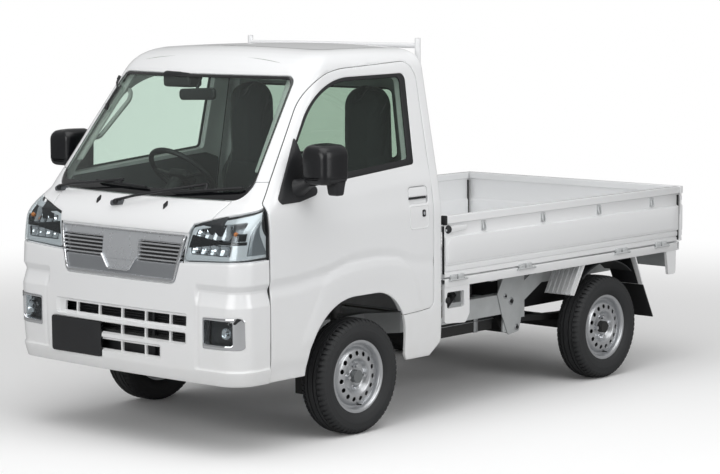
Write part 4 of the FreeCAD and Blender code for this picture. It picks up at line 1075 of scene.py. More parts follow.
def makeGrille():
    top, bottom = grille["top"], grille["bottom"]
    corners = [(-bottom[0] + 2, bottom[1] + 3, 26), (-top[0] + 4, top[1] - 5, 8),
        (top[0] - 4, top[1] - 5, 8), (bottom[0] - 2, bottom[1] + 3, 26)]
    whole = roundCorners(corners, 8)
    hole = shrunk(whole, 15)
    hole[:, 1] = np.where(hole[:, 1] > 930, hole[:, 1] + 9, hole[:, 1])

    def domed(s, t, place):
        # thick rounded bar at the foot and the sides
        edge = loopDistance(place[:, (0, 2)], whole)
        return 4.5 * np.sqrt(np.clip(1 - ((edge - 7.5) / 7.5) ** 2, 0, 1)) * ramp(place[:,
            2], 962, 940)

    rim = skinPanel(frontS(*whole.T), [frontS(*hole.T)], 16, 1.2, (4, 4), relief=domed,
        place=sunk(-0.5))
    addPiece("grilleRim", *rim, chrome, replaced=("grille",))
    (inner, outer), (low, high) = grille["slatX"], grille["slatZ"]

    def sunken(s, t, place):
        x, z = np.abs(place[:, 0]), place[:, 2]
        slot = ramp(x, inner - 2, inner + 4) * ramp(z, low - 4, low) * ramp(z, high + 6,
            high + 2)
        return -11 * slot

    panel = skinPanel(frontS(*shrunk(whole, 6).T), (), 20, 0.8, (14, 8),
        (low - 4, low, high + 2, high + 6), [frontS([x * k], [880])[0, 0] for k in (1, -1)
        for x in (inner - 2, inner + 1, inner + 4)], sunken, place=sunk(5))
    addPiece("grillePanel", *panel, satinSilver)
    lower = [(-347, 765, 18), (-372, 826, 2), (372, 826, 2), (347, 765, 18)]
    foot = skinPanel(frontLoop(lower, 8), [frontLoop([(-104, 825, 1), (-60, 776, 4),
        (60, 776, 4), (104, 825, 1)], 8)], 4, 0.6, (14, 10), place=sunk(3.6))
    addPiece("grilleFoot", *foot, darkSilver)
    pitch = (high - low) / grille["slats"]
    for side, name in sideNames:
        backing = frontLoop([(side * (inner + 3), low), (side * (outer + 4), low),
            (side * (outer + 8), high + 2), (side * (inner + 3), high + 2)], 10)
        dark = skinPanel(backing, (), 3, 0.4, (16, 10), place=sunk(14))
        addPiece(f"grilleSlots{name}", *dark, glossPlastic)
        steps = np.linspace(inner - 1, outer + 2, 22) * side
        z = low + pitch * 0.5
        place = skin(*frontS(steps, np.full(22, z)).T, np.full(22, 8.0))
        slat = tube(place, section=ellipse(6.4, 4.7, 10))
        shift = skin(*frontS([250], [z + pitch]).T,
            [8.0])[0] - skin(*frontS([250], [z]).T, [8.0])[0]
        slats = repeated(slat, chrome, repeatAlong, grille["slats"], (0, 0, 0),
            (0, float(shift[1]), float(pitch)))
        addPiece(f"grilleSlats{name}", *slats, chrome, angle=50)
    path = [(-115, 842), (-68, 780), (68, 780), (115, 842)]
    line = rounded([(x, 0, z) for x, z in path], 12)
    spine = skin(*frontS([p[0] for p in line], [p[2] for p in line]).T,
        np.full(len(line), 2.0))
    addPiece("grilleShieldEdge", *tube(spine, section=ellipse(9, 5, 12)), chrome,
        angle=50)
    print("grille")


def makeFogLamp(side, name):
    left, right, low, high = fog["lens"]
    a, b, c, d = fog["bezel"]
    outer = frontLoop([(a * side, c, 8), (b * side, c + 1, 16), (b * side, d, 16),
        (a * side, d - 7, 8)], 6)
    inner = frontLoop([(left * side, low, 8), (right * side, low, 10),
        (right * side, high, 10), (left * side, high, 8)], 6)

    rim = skinPanel(outer, [inner], 40, 4.5, (7, 7), place=sunk(-4.0))
    addPiece(f"fogBezel{name}", *rim, chrome, replaced=leftOnly(side, "fog_lamps"))

    def housed(s, t, place):
        near = np.hypot(place[:, 0] - 655.0 * side, place[:, 2] - 548.0)
        return 12 * ramp(near, 40, 26)

    back = skinPanel(outer, (), 4, 0.5, (9, 9), relief=housed, place=sunk(44))
    addPiece(f"fogHousing{name}", *back, glossPlastic)
    centre = skin(*frontS([648 * side], [548]).T, [20.0])[0]
    dish = turned([(14, 2), (13, 10), (9, 17), (1, 23), (0, 25), (2, 26), (11, 25),
        (17, 20), (18, 2)], "y", centre, 32)
    bulb = turned([(-8, 0.5), (-7, 3), (-4, 5), (2, 5.5), (10, 5)], "y", centre, 20)
    addPiece(f"fogReflector{name}", *joinShapes(dish, bulb), chrome)
    glass = skinPanel(inner, (), 3, 0.6, (30, 30), place=sunk(7))
    addPiece(f"fogLens{name}", *glass, lensPlastic)
    slit = frontLoop([(692 * side, 596, 3), (700 * side, 592, 3), (720 * side, 616, 3),
        (706 * side, 620, 3)], 4)
    dark = skinPanel(slit, (), 6, 1.0, (8, 8), place=sunk(-6))
    addPiece(f"fogSlit{name}", *dark, rubber)


def makeHeadlamp(side, name):
    whole = roundCorners(lampLoop(3.0), 9) * (side, 1)
    lens = skinPanel(whole, (), 3, 1.4, (14, 14), place=sunk(0.5))
    addPiece(f"lampLens{name}", *lens, lensPlastic, replaced=leftOnly(side, "headlamps"))
    back = skinPanel(roundCorners(lampLoop(5.0), 12) * (side, 1), (), 6, 0.8, (20, 20),
        place=sunk(36))
    addPiece(f"lampBody{name}", *back, darkSilver)
    # a window of reflectors in a bright surround
    upper = [atFront(452, 948, 4), atFront(600, 944, 3), atFront(704, 944, 4),
        atFront(706, 1034, 10), atFront(600, 1020, 6), atFront(462, 990, 6)]
    lower = [atFront(440, 880, 6), atFront(600, 880, 6), atFront(664, 882, 8),
        atFront(674, 928, 6), atFront(600, 928, 4), atFront(432, 928, 4)]
    holes = [roundCorners(h, 7) * (side, 1) for h in (upper, lower)]
    surround = skinPanel(roundCorners(lampLoop(8.0), 9) * (side, 1), holes, 5, 1.6,
        (14, 10), place=sunk(11))
    addPiece(f"lampSurround{name}", *surround, lampSilver)
    bar = roundCorners([atFront(424, 906, 3), atFront(600, 930, 3), atFront(728, 932, 3),
        atFront(728, 946, 3), atFront(600, 945, 3), atFront(440, 965, 3)], 7) * (side, 1)
    dark = skinPanel(bar, (), 7, 1.5, (12, 8), place=sunk(9.5))
    addPiece(f"lampBar{name}", *dark, glossPlastic)
    cells = []
    for low, high, posts, lift in ((950, 996, (456, 505, 554, 603, 650), 0.17),
            (884, 925, (438, 492, 546, 600, 656), 0.0)):
        for a, b in zip(posts, posts[1:]):
            rise = lift * ((a + b) / 2 - 456)
            cell = frontLoop([(a + 2, low, 5), (b - 2, low, 5), (b - 2, high + rise, 5),
                (a + 2, high + rise, 5)], 7)
            middle, reach = cell.mean(0), (cell.max(0) - cell.min(0)) / 2

            def dished(s, t, place, middle=middle, reach=reach):
                u = (np.abs(s) - middle[0]) / reach[0]
                v = (t - middle[1]) / reach[1]
                return -15 * np.clip(1 - (u * u + v * v) * 0.62, 0, 1)

            cells.append(skinPanel(cell * (side, 1), (), 2, 0.4, (9, 9), relief=dished,
                place=sunk(15)))
    addPiece(f"lampReflectors{name}", *joinShapes(*cells), chrome, angle=12)
    bulb = skin(*frontS([676 * side], [985]).T, [22.0])[0]
    amber = turned([(-10, 0.5), (-9, 5), (-5, 9), (2, 11), (10, 8), (14, 4)], "y", bulb,
        24)
    addPiece(f"lampBulb{name}", *amber, amberPlastic)
    column = roundCorners([atSide(lead - 6, 884, 4), atSide(lead - 6, 1060, 4),
        atFront(729, 1040, 4), atFront(729, 884, 4)], 8) * (side, 1)
    strip = skinPanel(column, (), 5, 1.2, (6, 12), place=sunk(8))
    addPiece(f"lampColumn{name}", *strip, clearGrey)
    box = roundCorners([atFront(690, 948, 3), atFront(724, 948, 3), atFront(724, 984, 3),
        atFront(690, 984, 3)], 6) * (side, 1)
    shade = skinPanel(box, (), 6, 1.0, (8, 8), place=sunk(9))
    addPiece(f"lampShade{name}", *shade, glossPlastic)


def makeWashers():
    for side, name in sideNames:
        x, z = 220 * side, 1073
        outline = frontLoop([(x - 12, z, 2), (x, z - 18, 2), (x + 12, z, 2),
            (x, z + 18, 2)], 3)
        jet = skinPanel(outline, (), 9, 2.5, (6, 6), place=sunk(-6))
        addPiece(f"washer{name}", *jet, darkPlastic)


# vacuum-metallised plastic: bright, slightly milky mirror
lampSilver = surfaceFinish("metallisedPlastic", "#F0F1F2", "#E4E6E8", 0.34, metallic=0.35,
    coat=0.6, grain=3.0, bump=0.01)
# tinted polycarbonate: deep amber, clear gloss
amberPlastic = surfaceFinish("amberPolycarbonate", "#D8701E", "#E08A34", 0.2, coat=0.5,
    grain=3.0, bump=0.02)
# smoked plastic with moulded reflex prisms: grey, glittering
clearGrey = surfaceFinish("smokedReflexPlastic", "#8B8F92", "#9DA1A4", 0.22, metallic=0.5,
    grain=2.5, bump=0.12)
makeIntakeBack()
makePlate()
makeGrille()
for makeLights in (makeFogLamp, makeHeadlamp):
    for lampSide in sideNames:
        makeLights(*lampSide)
makeWashers()
print("front details")
makeBumper()


# mirrors, handles, seals, wipers and the rear of the cab

def sidePatch(name, side, outline, depth, thick, material, rider, edge, holes=(),
        grid=(24, 24)):
    # a closed patch of the cab's side, drawn in side view, a depth under the skin
    cuts = [onSide(hole, side) for hole in holes]
    shape = skinPanel(onSide(outline, side), cuts, thick, edge, grid, place=sunk(depth))
    addPiece(name, *shape, material, rider)


def lofted(rings):
    # closed skin over rings of equal count, both ends capped
    count = len(rings[0])
    points = [tuple(p) for ring in rings for p in ring]
    ends = [list(range(count)), [len(points) - count + k for k in range(count)]]
    return cleaned((points, bridged(count, len(rings)) + ends))


def cutLevel(shape, z, keepAbove):
    # the part of a closed shape above or below a level, closed again
    bm = toBmesh(shape)
    cut = bmesh.ops.bisect_plane(bm, geom=bm.verts[:] + bm.edges[:] + bm.faces[:],
        plane_co=(0, 0, z), plane_no=(0, 0, 1), clear_inner=keepAbove,
        clear_outer=not keepAbove)
    rim = [e for e in cut["geom_cut"] if isinstance(e, bmesh.types.BMEdge)]
    bmesh.ops.contextual_create(bm, geom=rim)
    bmesh.ops.recalc_face_normals(bm, faces=bm.faces[:])
    return fromBmesh(bm)


mirror = {
    "split": 1201.0, "gap": 3.0,
    # y behind the front of the head, share of its width and of its height
    "slices": [(0, 0.66, 0.70), (3, 0.78, 0.81), (10, 0.88, 0.90), (24, 0.95, 0.96),
               (50, 0.985, 0.985), (95, 1.0, 1.0), (140, 0.99, 0.99),
               (147, 0.965, 0.97), (150, 0.93, 0.945)],
    "gusset": [(-1400, 1110, 16), (-1376, 1089, 14), (-1262, 1092, 40),
               (-1128, 1120, 25), (-1150, 1150, 20), (-1196, 1170, 25),
               (-1212, 1290, 120), (-1236, 1372, 4)],
}


def mirrorShape(low, high):
    # head: a rounded housing with its corners drawn in towards the front
    centre = (low + high) / 2
    half = (high - low) / 2
    outline = roundCorners([(-half[0], -half[2], 34), (-half[0], half[2], 40),
        (half[0], half[2] - 8, 46), (half[0], -half[2], 38)], 7)
    rings = []
    for y, wide, tall in mirror["slices"]:
        lean = 16 * (1 - wide)
        rings.append([(centre[0] + a * wide - lean, low[1] + y, centre[2] + b * tall
            - lean) for a, b in outline])
    for y, share in ((149, 0.90), (138, 0.885)):
        rings.append([(centre[0] + a * share, low[1] + y, centre[2] + b * share) for a,
            b in outline])
    glass = prism([(centre[0] + a * 0.875, centre[2] + b * 0.875) for a, b in outline],
        "y", low[1] + 136, low[1] + 142, 1.0)
    return lofted(rings), glass


def makeMirrors():
    low, high = (np.array(v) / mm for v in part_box("mirror_left"))
    low[0] += 65
    head, glass = mirrorShape(low, high)
    upper = cutLevel(head, mirror["split"] + mirror["gap"] / 2, True)
    lower = cutLevel(head, mirror["split"] - mirror["gap"] / 2, False)
    # a slightly narrower core closes the gap between the two
    shrink = 0.035
    core = (np.array(head[0]) * (1 - shrink, 1, 1) + (shrink * (low[0] + high[0]) / 2, 0,
        0), head[1])
    heart = cutLevel(cutLevel(core, mirror["split"] - 6, True), mirror["split"] + 6,
        False)
    pod = lofted([[(low[0] + 103 + a * f, low[1] + 118 + b * f, z) for a,
        b in roundCorners([(-36, -30, 14), (-36, 26, 12), (36, 26, 12), (36, -30, 14)],
        6)] for z, f in ((1124, 0.68), (1126, 0.78), (1133, 0.86), (1160, 0.96),
        (1184, 1.08))])
    arm = lofted([[(x, y + a * f, z + b * g) for a,
        b in roundCorners([(-40, -30, 24), (-40, 30, 24), (40, 30, 24), (40, -30, 24)],
        7)] for x, y, z, f, g in ((702, -1262, 1150, 1.2, 1.5),
        (722, -1262, 1152, 1.05, 1.25), (738, -1256, 1160, 0.9, 1.0),
        (756, -1248, 1174, 0.86, 0.86), (784, -1240, 1188, 0.8, 0.8))])
    for side, name in sideNames:
        rider = f"door_{name.lower()}"
        for label, shape, material in (("mirrorCover", upper, mirrorBlack),
                ("mirrorBody", joinShapes(lower, heart), darkPlastic),
                ("mirrorGlass", glass, silvered), ("mirrorPod", pod, darkPlastic),
                ("mirrorArm", arm, darkPlastic)):
            addPiece(f"{label}{name}", *mirrored(shape, side), material, rider, 40,
                (f"mirror_{name.lower()}",) if label == "mirrorCover" else ())
        sidePatch(f"mirrorGusset{name}", side, roundCorners(mirror["gusset"], 8), -5.5, 9,
            darkPlastic, rider, 4.0)
    print("mirrors")


def makeDoorFittings(side, name):
    def put(label, outline, depth, thick, material, *more):
        sidePatch(label + name, side, outline, depth, thick, material,
            f"door_{name.lower()}", *more)

    def boxed(front, rear, low, high, corners, step):
        lower, upper = corners
        return roundCorners([(front, low, lower), (front, high, upper),
            (rear, high, upper), (rear, low, lower)], step)

    put("handleCup", shrunk(handleOutline, -2), 15.5, 2, paint, 0.4)
    put("handleFlap", boxed(-541, -410, 1057, 1101, (4, 19), 5), -1.5, 12, paint, 3.5,
        (), (14, 12))
    # a black strip under the flap: painted shade of the finger gap
    put("handleGapShade", boxed(-536, -415, 1046, 1056, (3, 3), 5), 5, 9, darkPlastic, 1.5)
    plate = boxed(-543, -408, 906, 1017, (22, 8), 6)
    put("lockPlateRim", plate, -1.8, 4, paint, 1.6, (shrunk(plate, 5),), (14, 14))
    put("lockCap", boxed(-455, -432, 961, 994, (7, 7), 4), -3.0, 5, darkPlastic, 2.2)
    put("lockBarrel", boxed(-449, -438, 970, 985, (5, 5), 3), -4.0, 3, satinSilver, 1.0)


def makeDoorSeals():
    # a black strip inside the whole door gap, painted shade that darkens the gap, and a
    # rubber seal behind it, on the body
    keep = (doorOutline[:, 1] > 326) & ~inside(doorOutline, archOutline)
    path = doorOutline[keep]
    ahead = np.gradient(path, axis=0)
    ahead /= np.linalg.norm(ahead, axis=1, keepdims=True)
    across = np.stack([-ahead[:, 1], ahead[:, 0]], 1)
    # the first strip is painted shade: black, it fills the gap so that the gap reads dark
    for half, depth, thick, label in ((2.3, 4.5, 11, "doorLip"),
            (12, 17.2, 4, "doorSeal")):
        strip = np.concatenate([path + across * half, (path - across * half)[::-1]])
        for side, name in sideNames:
            sidePatch(f"{label}{name}", side, strip, depth, thick, rubber, "chassis", 0.6)
    print("seals")


wiper = {
    # pivot, joint and blade ends in front view, x and z
    "left": ((-80, 1068), (413, 1158), (236, 1121), (588, 1156)),
    "right": ((-556, 1098), (-90, 1154), (-290, 1146), (62, 1136)),
}


def onScreen(x, z, lift):
    return skin(*frontS([x], [z]).T, [-lift])[0]


def makeWipers():
    for name, (pivot, joint, bladeStart, bladeEnd) in wiper.items():
        def along(a, b, lifts, count=9):
            return [onScreen(a[0] + (b[0] - a[0]) * k / (count - 1), a[1] + (b[1] - a[1])
                * k / (count - 1), np.interp(k / (count - 1), (0, 0.25, 1), lifts))
                for k in range(count)]

        root = onScreen(*pivot, 8)
        hub = lofted([[root + np.array([x, h, z]) for x, z in ellipse(r, r, 20)] for h,
            r in ((22, 15), (2, 15), (-12, 14), (-19, 11), (-21, 6))])
        arm = tube(along(pivot, joint, (20, 30, 24)), 6, 8)
        spine = tube(along(bladeStart, bladeEnd, (13, 15, 13), 15),
            section=[(-6, -2), (6, -2), (4, 4), (-4, 4)])
        lip = tube(along(bladeStart, bladeEnd, (5, 6, 5), 15),
            section=[(-2, -4), (2, -4), (3, 5), (-3, 5)])
        clip = tube([onScreen(*joint, 26), onScreen((bladeStart[0] + bladeEnd[0]) / 2,
            (bladeStart[1] + bladeEnd[1]) / 2, 16)], 6, 8)
        addPiece(f"wiper{name.title()}", *joinShapes(hub, arm, spine, clip), darkPlastic,
            angle=40, replaced=("wipers",) if name == "left" else ())
        addPiece(f"wiperLip{name.title()}", *lip, rubber)
        base = tube([onScreen(pivot[0] - 34, pivot[1] - 6, 4),
            onScreen(pivot[0] + 34, pivot[1] + 2, 4)], 13, 12)
        addPiece(f"wiperBase{name.title()}", *base, greyPlastic)


def makeAntenna():
    def beside(y, z, lift):
        return skin(*sideS([y], [z], -1).T, [-lift])[0]

    rod = tube([beside(-1262 + 116 * k / 6, 1468 + 20 * k, 12) for k in range(7)], 5.5,
        12)
    tip = tube([beside(-1150, 1584, 12), beside(-1138, 1598, 12)], 7.5, 12)
    foot = tube([beside(-1272, 1452, 1), beside(-1258, 1473, 12)], 9, 12)
    addPiece("antennaRod", *joinShapes(rod, tip, foot), darkPlastic)


def makeRearWindow():
    # the pane and its rubber
    back = truck["back"]
    outer, inner, pane = (roundCorners(bothSides(corners), 12)
        for corners in ([(497, 1193, 43), (453, 1557, 43)],
        [(474, 1214, 36), (434, 1536, 36)], [(492, 1198, 40), (448, 1552, 40)]))
    addPiece("rearGlass", *prism(pane, "y", back - 11, back - 7, 0.8), rearTint)
    addPiece("rearGlassSeal", *framed(outer, inner, back - 15, back - 2), rubber)


def framed(outer, inner, low, high):
    # a flat ring between two outlines in x, z, from low to high in y
    count, points, faces = len(outer), [], []
    near = [inner[np.argmin(np.linalg.norm(inner - p, axis=1))] for p in outer]
    for y in (low, high):
        points += [(a, y, b) for a, b in outer]
        points += [(a, y, b) for a, b in near]
    for k in range(count):
        n = (k + 1) % count
        a, b, c, d = k, count + k, 2 * count + k, 3 * count + k
        e, f, g, h = n, count + n, 2 * count + n, 3 * count + n
        faces += [(a, e, f, b), (c, d, h, g), (a, c, g, e), (b, f, h, d)]
    return cleaned((points, faces))


def makeRearFittings():
    # lamps in three lenses, and the bare number plate on its carrier
    low, high = (np.array(v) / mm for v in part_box("rear_lamps"))
    inner, outer = 540, high[0]
    width = outer - inner
    mount = joinShapes(block((inner, high[1] - 13, low[2]), (outer, high[1] - 7, high[2]),
        2), block((inner, low[1], low[2]), (outer, high[1] - 12, high[2]), 4))
    cuts = [inner + 6, inner + width * 0.36, inner + width * 0.66, outer - 6]
    lenses = [block((a + 1, high[1] - 12, low[2] + 6), (b - 1, high[1], high[2] - 6), 5,
        3) for a, b in zip(cuts, cuts[1:])]
    for side, name in sideNames:
        addPiece(f"rearLampBody{name}", *mirrored(mount, side), darkPlastic,
            replaced=leftOnly(side, "rear_lamps"))
        for k, material in enumerate((lensPlastic, amberPlastic, lampRed)):
            addPiece(f"rearLens{name}{k + 1}", *mirrored(lenses[k], side), material)
    rear = high[1] - 32
    plate = prism(roundCorners([(-165, 420, 10), (-165, 585, 10), (165, 585, 10),
        (165, 420, 10)], 10), "y", rear, rear + 2.6, 0.8)
    addPiece("rearPlate", *plate, plateEnamel)
    bolts = [turned([(rear + 2, 0.5), (rear + 2, 6), (rear + 5, 6), (rear + 6, 4),
        (rear + 6, 0.5)], "y", (x, 0, 560), 12) for x in (-105, 105)]
    light = block((-60, rear - 2, 590), (60, rear + 26, 612), 5)
    addPiece("rearPlateBolts", *joinShapes(*bolts), zincSteel)
    addPiece("rearPlateLight", *light, darkPlastic)
    print("rear fittings")


# moulded ABS, fine spark grain: deep black with a soft broad shine
mirrorBlack = surfaceFinish("blackAbs", "#101113", "#15161A", 0.3, grain=0.9, bump=0.03)
# back-silvered glass: a plain bright mirror
silvered = surfaceFinish("silveredGlass", "#DDE1E3", "#D6DBDD", 0.03, metallic=1.0,
    grain=3.0, bump=0.0)
# bronze-green rear pane, darker than the others
rearTint = windowGlass("tintedRearGlass", "#D4DED6", 0.05)
# injection-moulded acrylic: deep red, clear gloss
lampRed = surfaceFinish("redAcrylic", "#A3121A", "#8E0E15", 0.14, coat=0.5, grain=4.0,
    bump=0.05)
# stove enamel on aluminium sheet
plateEnamel = surfaceFinish("enamelledAluminium", "#D8C24A", "#D2BB40", 0.35, grain=1.5,
    bump=0.03)
makeMirrors()
for doorSide in sideNames:
    makeDoorFittings(*doorSide)
makeDoorSeals()
makeWipers()
makeAntenna()
makeRearWindow()
makeRearFittings()


# wheels and tyres

wheel = {
    "holes": 15, "holeRadius": 11.0, "holeCircle": 106.0, "nuts": 4, "nutCircle": 50.0,
    # out from the wheel's middle, by radius
    "disc": [(26, 28), (36, 24), (62, 23), (70, 30), (78, 43), (83, 48), (90, 49),
             (120, 44), (128, 37), (137, 27), (147, 27)],
    "treadBlocks": 62, "axleHeight": 265, "track": {"front": 655, "rear": 653},
}


def discPlace(s, t, extra=0.0):
    # the pressed disc: s round the hole circle, t the radius
    s, t = np.broadcast_arrays(np.asarray(s, float), np.asarray(t, float))
    extra = np.broadcast_to(np.asarray(extra, float), s.shape)
    out = smoothTable(wheel["disc"], t.ravel())[:, 0].reshape(t.shape)
    ahead = smoothTable(wheel["disc"], t.ravel() + 0.5)[:, 0].reshape(t.shape)
    slope = (ahead - out) / 0.5
    size = np.hypot(1, slope)
    radius = t + extra * slope / size
    angle = s / wheel["holeCircle"]
    return np.stack([out - extra / size, radius * np.sin(angle), radius * np.cos(angle)],
        -1)


def makeWheelShapes():
    pitch = 2 * math.pi * wheel["holeCircle"] / wheel["holes"]
    half = pitch / 2
    edge = roundCorners([(-half, 27), (half, 27), (half, 147), (-half, 147)], 5)
    hole = np.array(ellipse(wheel["holeRadius"], wheel["holeRadius"], 24))
    hole[:, 1] += wheel["holeCircle"]
    sector = skinPanel(edge, [hole], 4, 1.2, (5, 4), seams=(half,), place=discPlace)
    disc = repeated(sector, wheelSilver, repeatAround, wheel["holes"], (0, 0, 0),
        (2 * math.pi / wheel["holes"], 0, 0), weld=0.05)
    rim = turned([(-54, 166), (-51, 168), (-48, 166), (-46, 158), (-44, 152.4),
        (-20, 152.4), (-12, 141), (18, 141), (27, 152.4), (44, 152.4), (48, 157),
        (49, 165), (52, 168), (55, 166.5), (55.5, 162), (53, 155), (49, 150.5),
        (42, 148.4), (27, 147.4), (20, 137), (-14, 137), (-22, 148), (-44, 148),
        (-51, 152), (-54, 158), (-54, 166)], "x", (0, 0, 0), 96)
    nut = turned([(18, 0.5), (18, 15), (22, 15), (26, 12), (27, 10.6), (44, 10.6),
        (48, 8.5), (49, 4), (49, 0.5)], "x", (0, 0, wheel["nutCircle"]), 6)
    nuts = repeated(nut, wheelSilver, repeatAround, wheel["nuts"], (0, 0, 0),
        (2 * math.pi / wheel["nuts"], 0, 0))
    cap = turned([(18, 0.5), (18, 30), (27, 30), (29, 28), (29, 24), (42, 22), (50, 19),
        (52, 16), (52.5, 0.5)], "x", (0, 0, 0), 40)
    drum = turned([(-40, 0.5), (-40, 122), (14, 122), (22, 116), (26, 104), (20, 84),
        (14, 60), (14, 0.5)], "x", (0, 0, 0), 48)
    stem = turned([(24, 0.5), (24, 5), (44, 4.4), (45, 3.2), (58, 3.2), (60, 2.4),
        (60, 0.5)], "x", (0, 12, -131), 12)
    return joinShapes(disc, rim), nuts, cap, stem, drum


def makeTyreShapes():
    side = [(44, 152.6), (48.5, 157), (50, 163), (56, 169), (60, 175), (62.2, 177),
        (63, 180), (64.2, 181), (66.6, 187), (69.6, 196), (71.4, 206), (72.4, 212),
        (72.6, 214), (71.6, 216), (72.0, 220), (71.0, 229), (69.2, 237), (69.6, 239),
        (67.6, 242), (64.5, 248), (60, 253), (52, 256.4), (40, 257.5)]
    ribs = [(34.5, 257.5), (33.5, 264.2), (19, 265), (18.2, 258), (13.4, 258),
        (12.6, 265)]
    half = side + ribs
    profile = half + [(-x, r) for x, r in reversed(half)] + [half[0]]
    carcass = turned(profile, "x", (0, 0, 0), 120)
    count = wheel["treadBlocks"]
    pitch = 2 * math.pi / count
    outer = [(39, 264.6), (50, 262.6), (58, 258.6), (63.4, 252.5), (68.2, 243),
        (70.4, 236.5)]
    inner = [(70.0, 233), (66, 239), (60, 249), (50, 254), (39, 256)]
    ring = outer + inner
    points = []
    for share in (-0.34, 0.34):
        for x, r in ring:
            grow = 1.0 if (x, r) in inner else 0.86
            angle = pitch * (share * grow + 0.14 * (x - 39) / 30)
            points.append((x, r * math.sin(angle), r * math.cos(angle)))
    size = len(ring)
    faces = bridged(size, 2)
    for i in range(len(outer) - 1):
        a, b = i, i + 1
        c, d = size - 1 - min(i, 4), size - 1 - min(i + 1, 4)
        for base in (0, size):
            quad = [a + base, b + base, d + base, c + base]
            faces.append(list(dict.fromkeys(quad)))
    left = cleaned((points, faces))
    # the blocks of the other shoulder stand half a pitch further round
    turn = np.array(Matrix.Rotation(pitch / 2, 3, "X"))
    blocks = joinShapes(left, flipX((np.array(left[0]) @ turn.T, left[1])))
    return carcass, repeated(blocks, tyreRubber, repeatAround, count, (0, 0, 0),
        (pitch, 0, 0))


def makeWheels():
    rims, nuts, cap, stem, drum = makeWheelShapes()
    carcass, blocks = makeTyreShapes()
    parts = (("wheelRim", rims, wheelSilver, 40, "rim"),
        ("wheelNuts", nuts, chrome, 30, ""), ("hubCap", cap, darkPlastic, 30, ""),
        ("valveStem", stem, rubber, 40, ""), ("brakeDrum", drum, chassisBlack, 40, ""),
        ("tyreCarcass", carcass, tyreRubber, 50, "tyre"),
        ("tyreTread", blocks, tyreRubber, 30, ""))
    for end, track in wheel["track"].items():
        for sign, side in sideNames:
            middle = (sign * track, truck[f"{end}Axle"], wheel["axleHeight"])
            place = f"{end}_{side.lower()}"
            for name, shape, material, angle, node in parts:
                addPiece(f"{name}{end.title()}{side}",
                    *moved(mirrored(shape, sign), middle), material, f"wheel_{place}",
                    angle, (f"{node}_{place}",) if node else ())
    print("wheels")


# carbon-black tyre rubber, moulded: dark, dull, fine mould grain
tyreRubber = surfaceFinish("mouldedTyreRubber", "#262729", "#2F3031", 0.66, grain=1.2,
    bump=0.15, patch=90)
makeWheels()


# bed, gates and guard frame

bed = {
    "front": -285.0, "rear": 1649.5, "gateTop": 950.0,
    "outer": 737.0, "inner": 706.5, "hooks": 4, "hookStart": 9.0, "hookStep": 467.0,
    "hookZ": 884.0, "hingeMiddles": [-196, 328, 1135, 1493],
    "floorTop": 660.0, "corrugations": 13,
}


def gateProfile():
    # (x, z): rolled top rail, hook strip, main panel, two creases, inner face
    o, i, top = bed["outer"], bed["inner"], bed["gateTop"]
    return [(o - 2, top - 1), (o, top - 4), (o, top - 36), (o - 3, top - 39),
        (o - 11, top - 40), (o - 12, top - 42), (o - 12, 853), (o - 11, 851),
        (o - 3, 846), (o - 2, 843), (o - 2, 719), (o - 3, 716), (o - 9, 713),
        (o - 9, 709), (o - 5, 706), (o - 5, 689), (o - 6, 686), (o - 12, 683),
        (o - 12, 679), (o - 8, 676), (o - 8, 660), (o - 11, 657), (i + 4, 657),
        (i + 2, 658), (i + 2, 786), (i + 3, 792), (i + 7, 797), (i + 8, 802),
        (i + 8, 905), (i + 6, 911), (i + 1, 914), (i, 918), (i, top - 4),
        (i + 2, top - 1)]


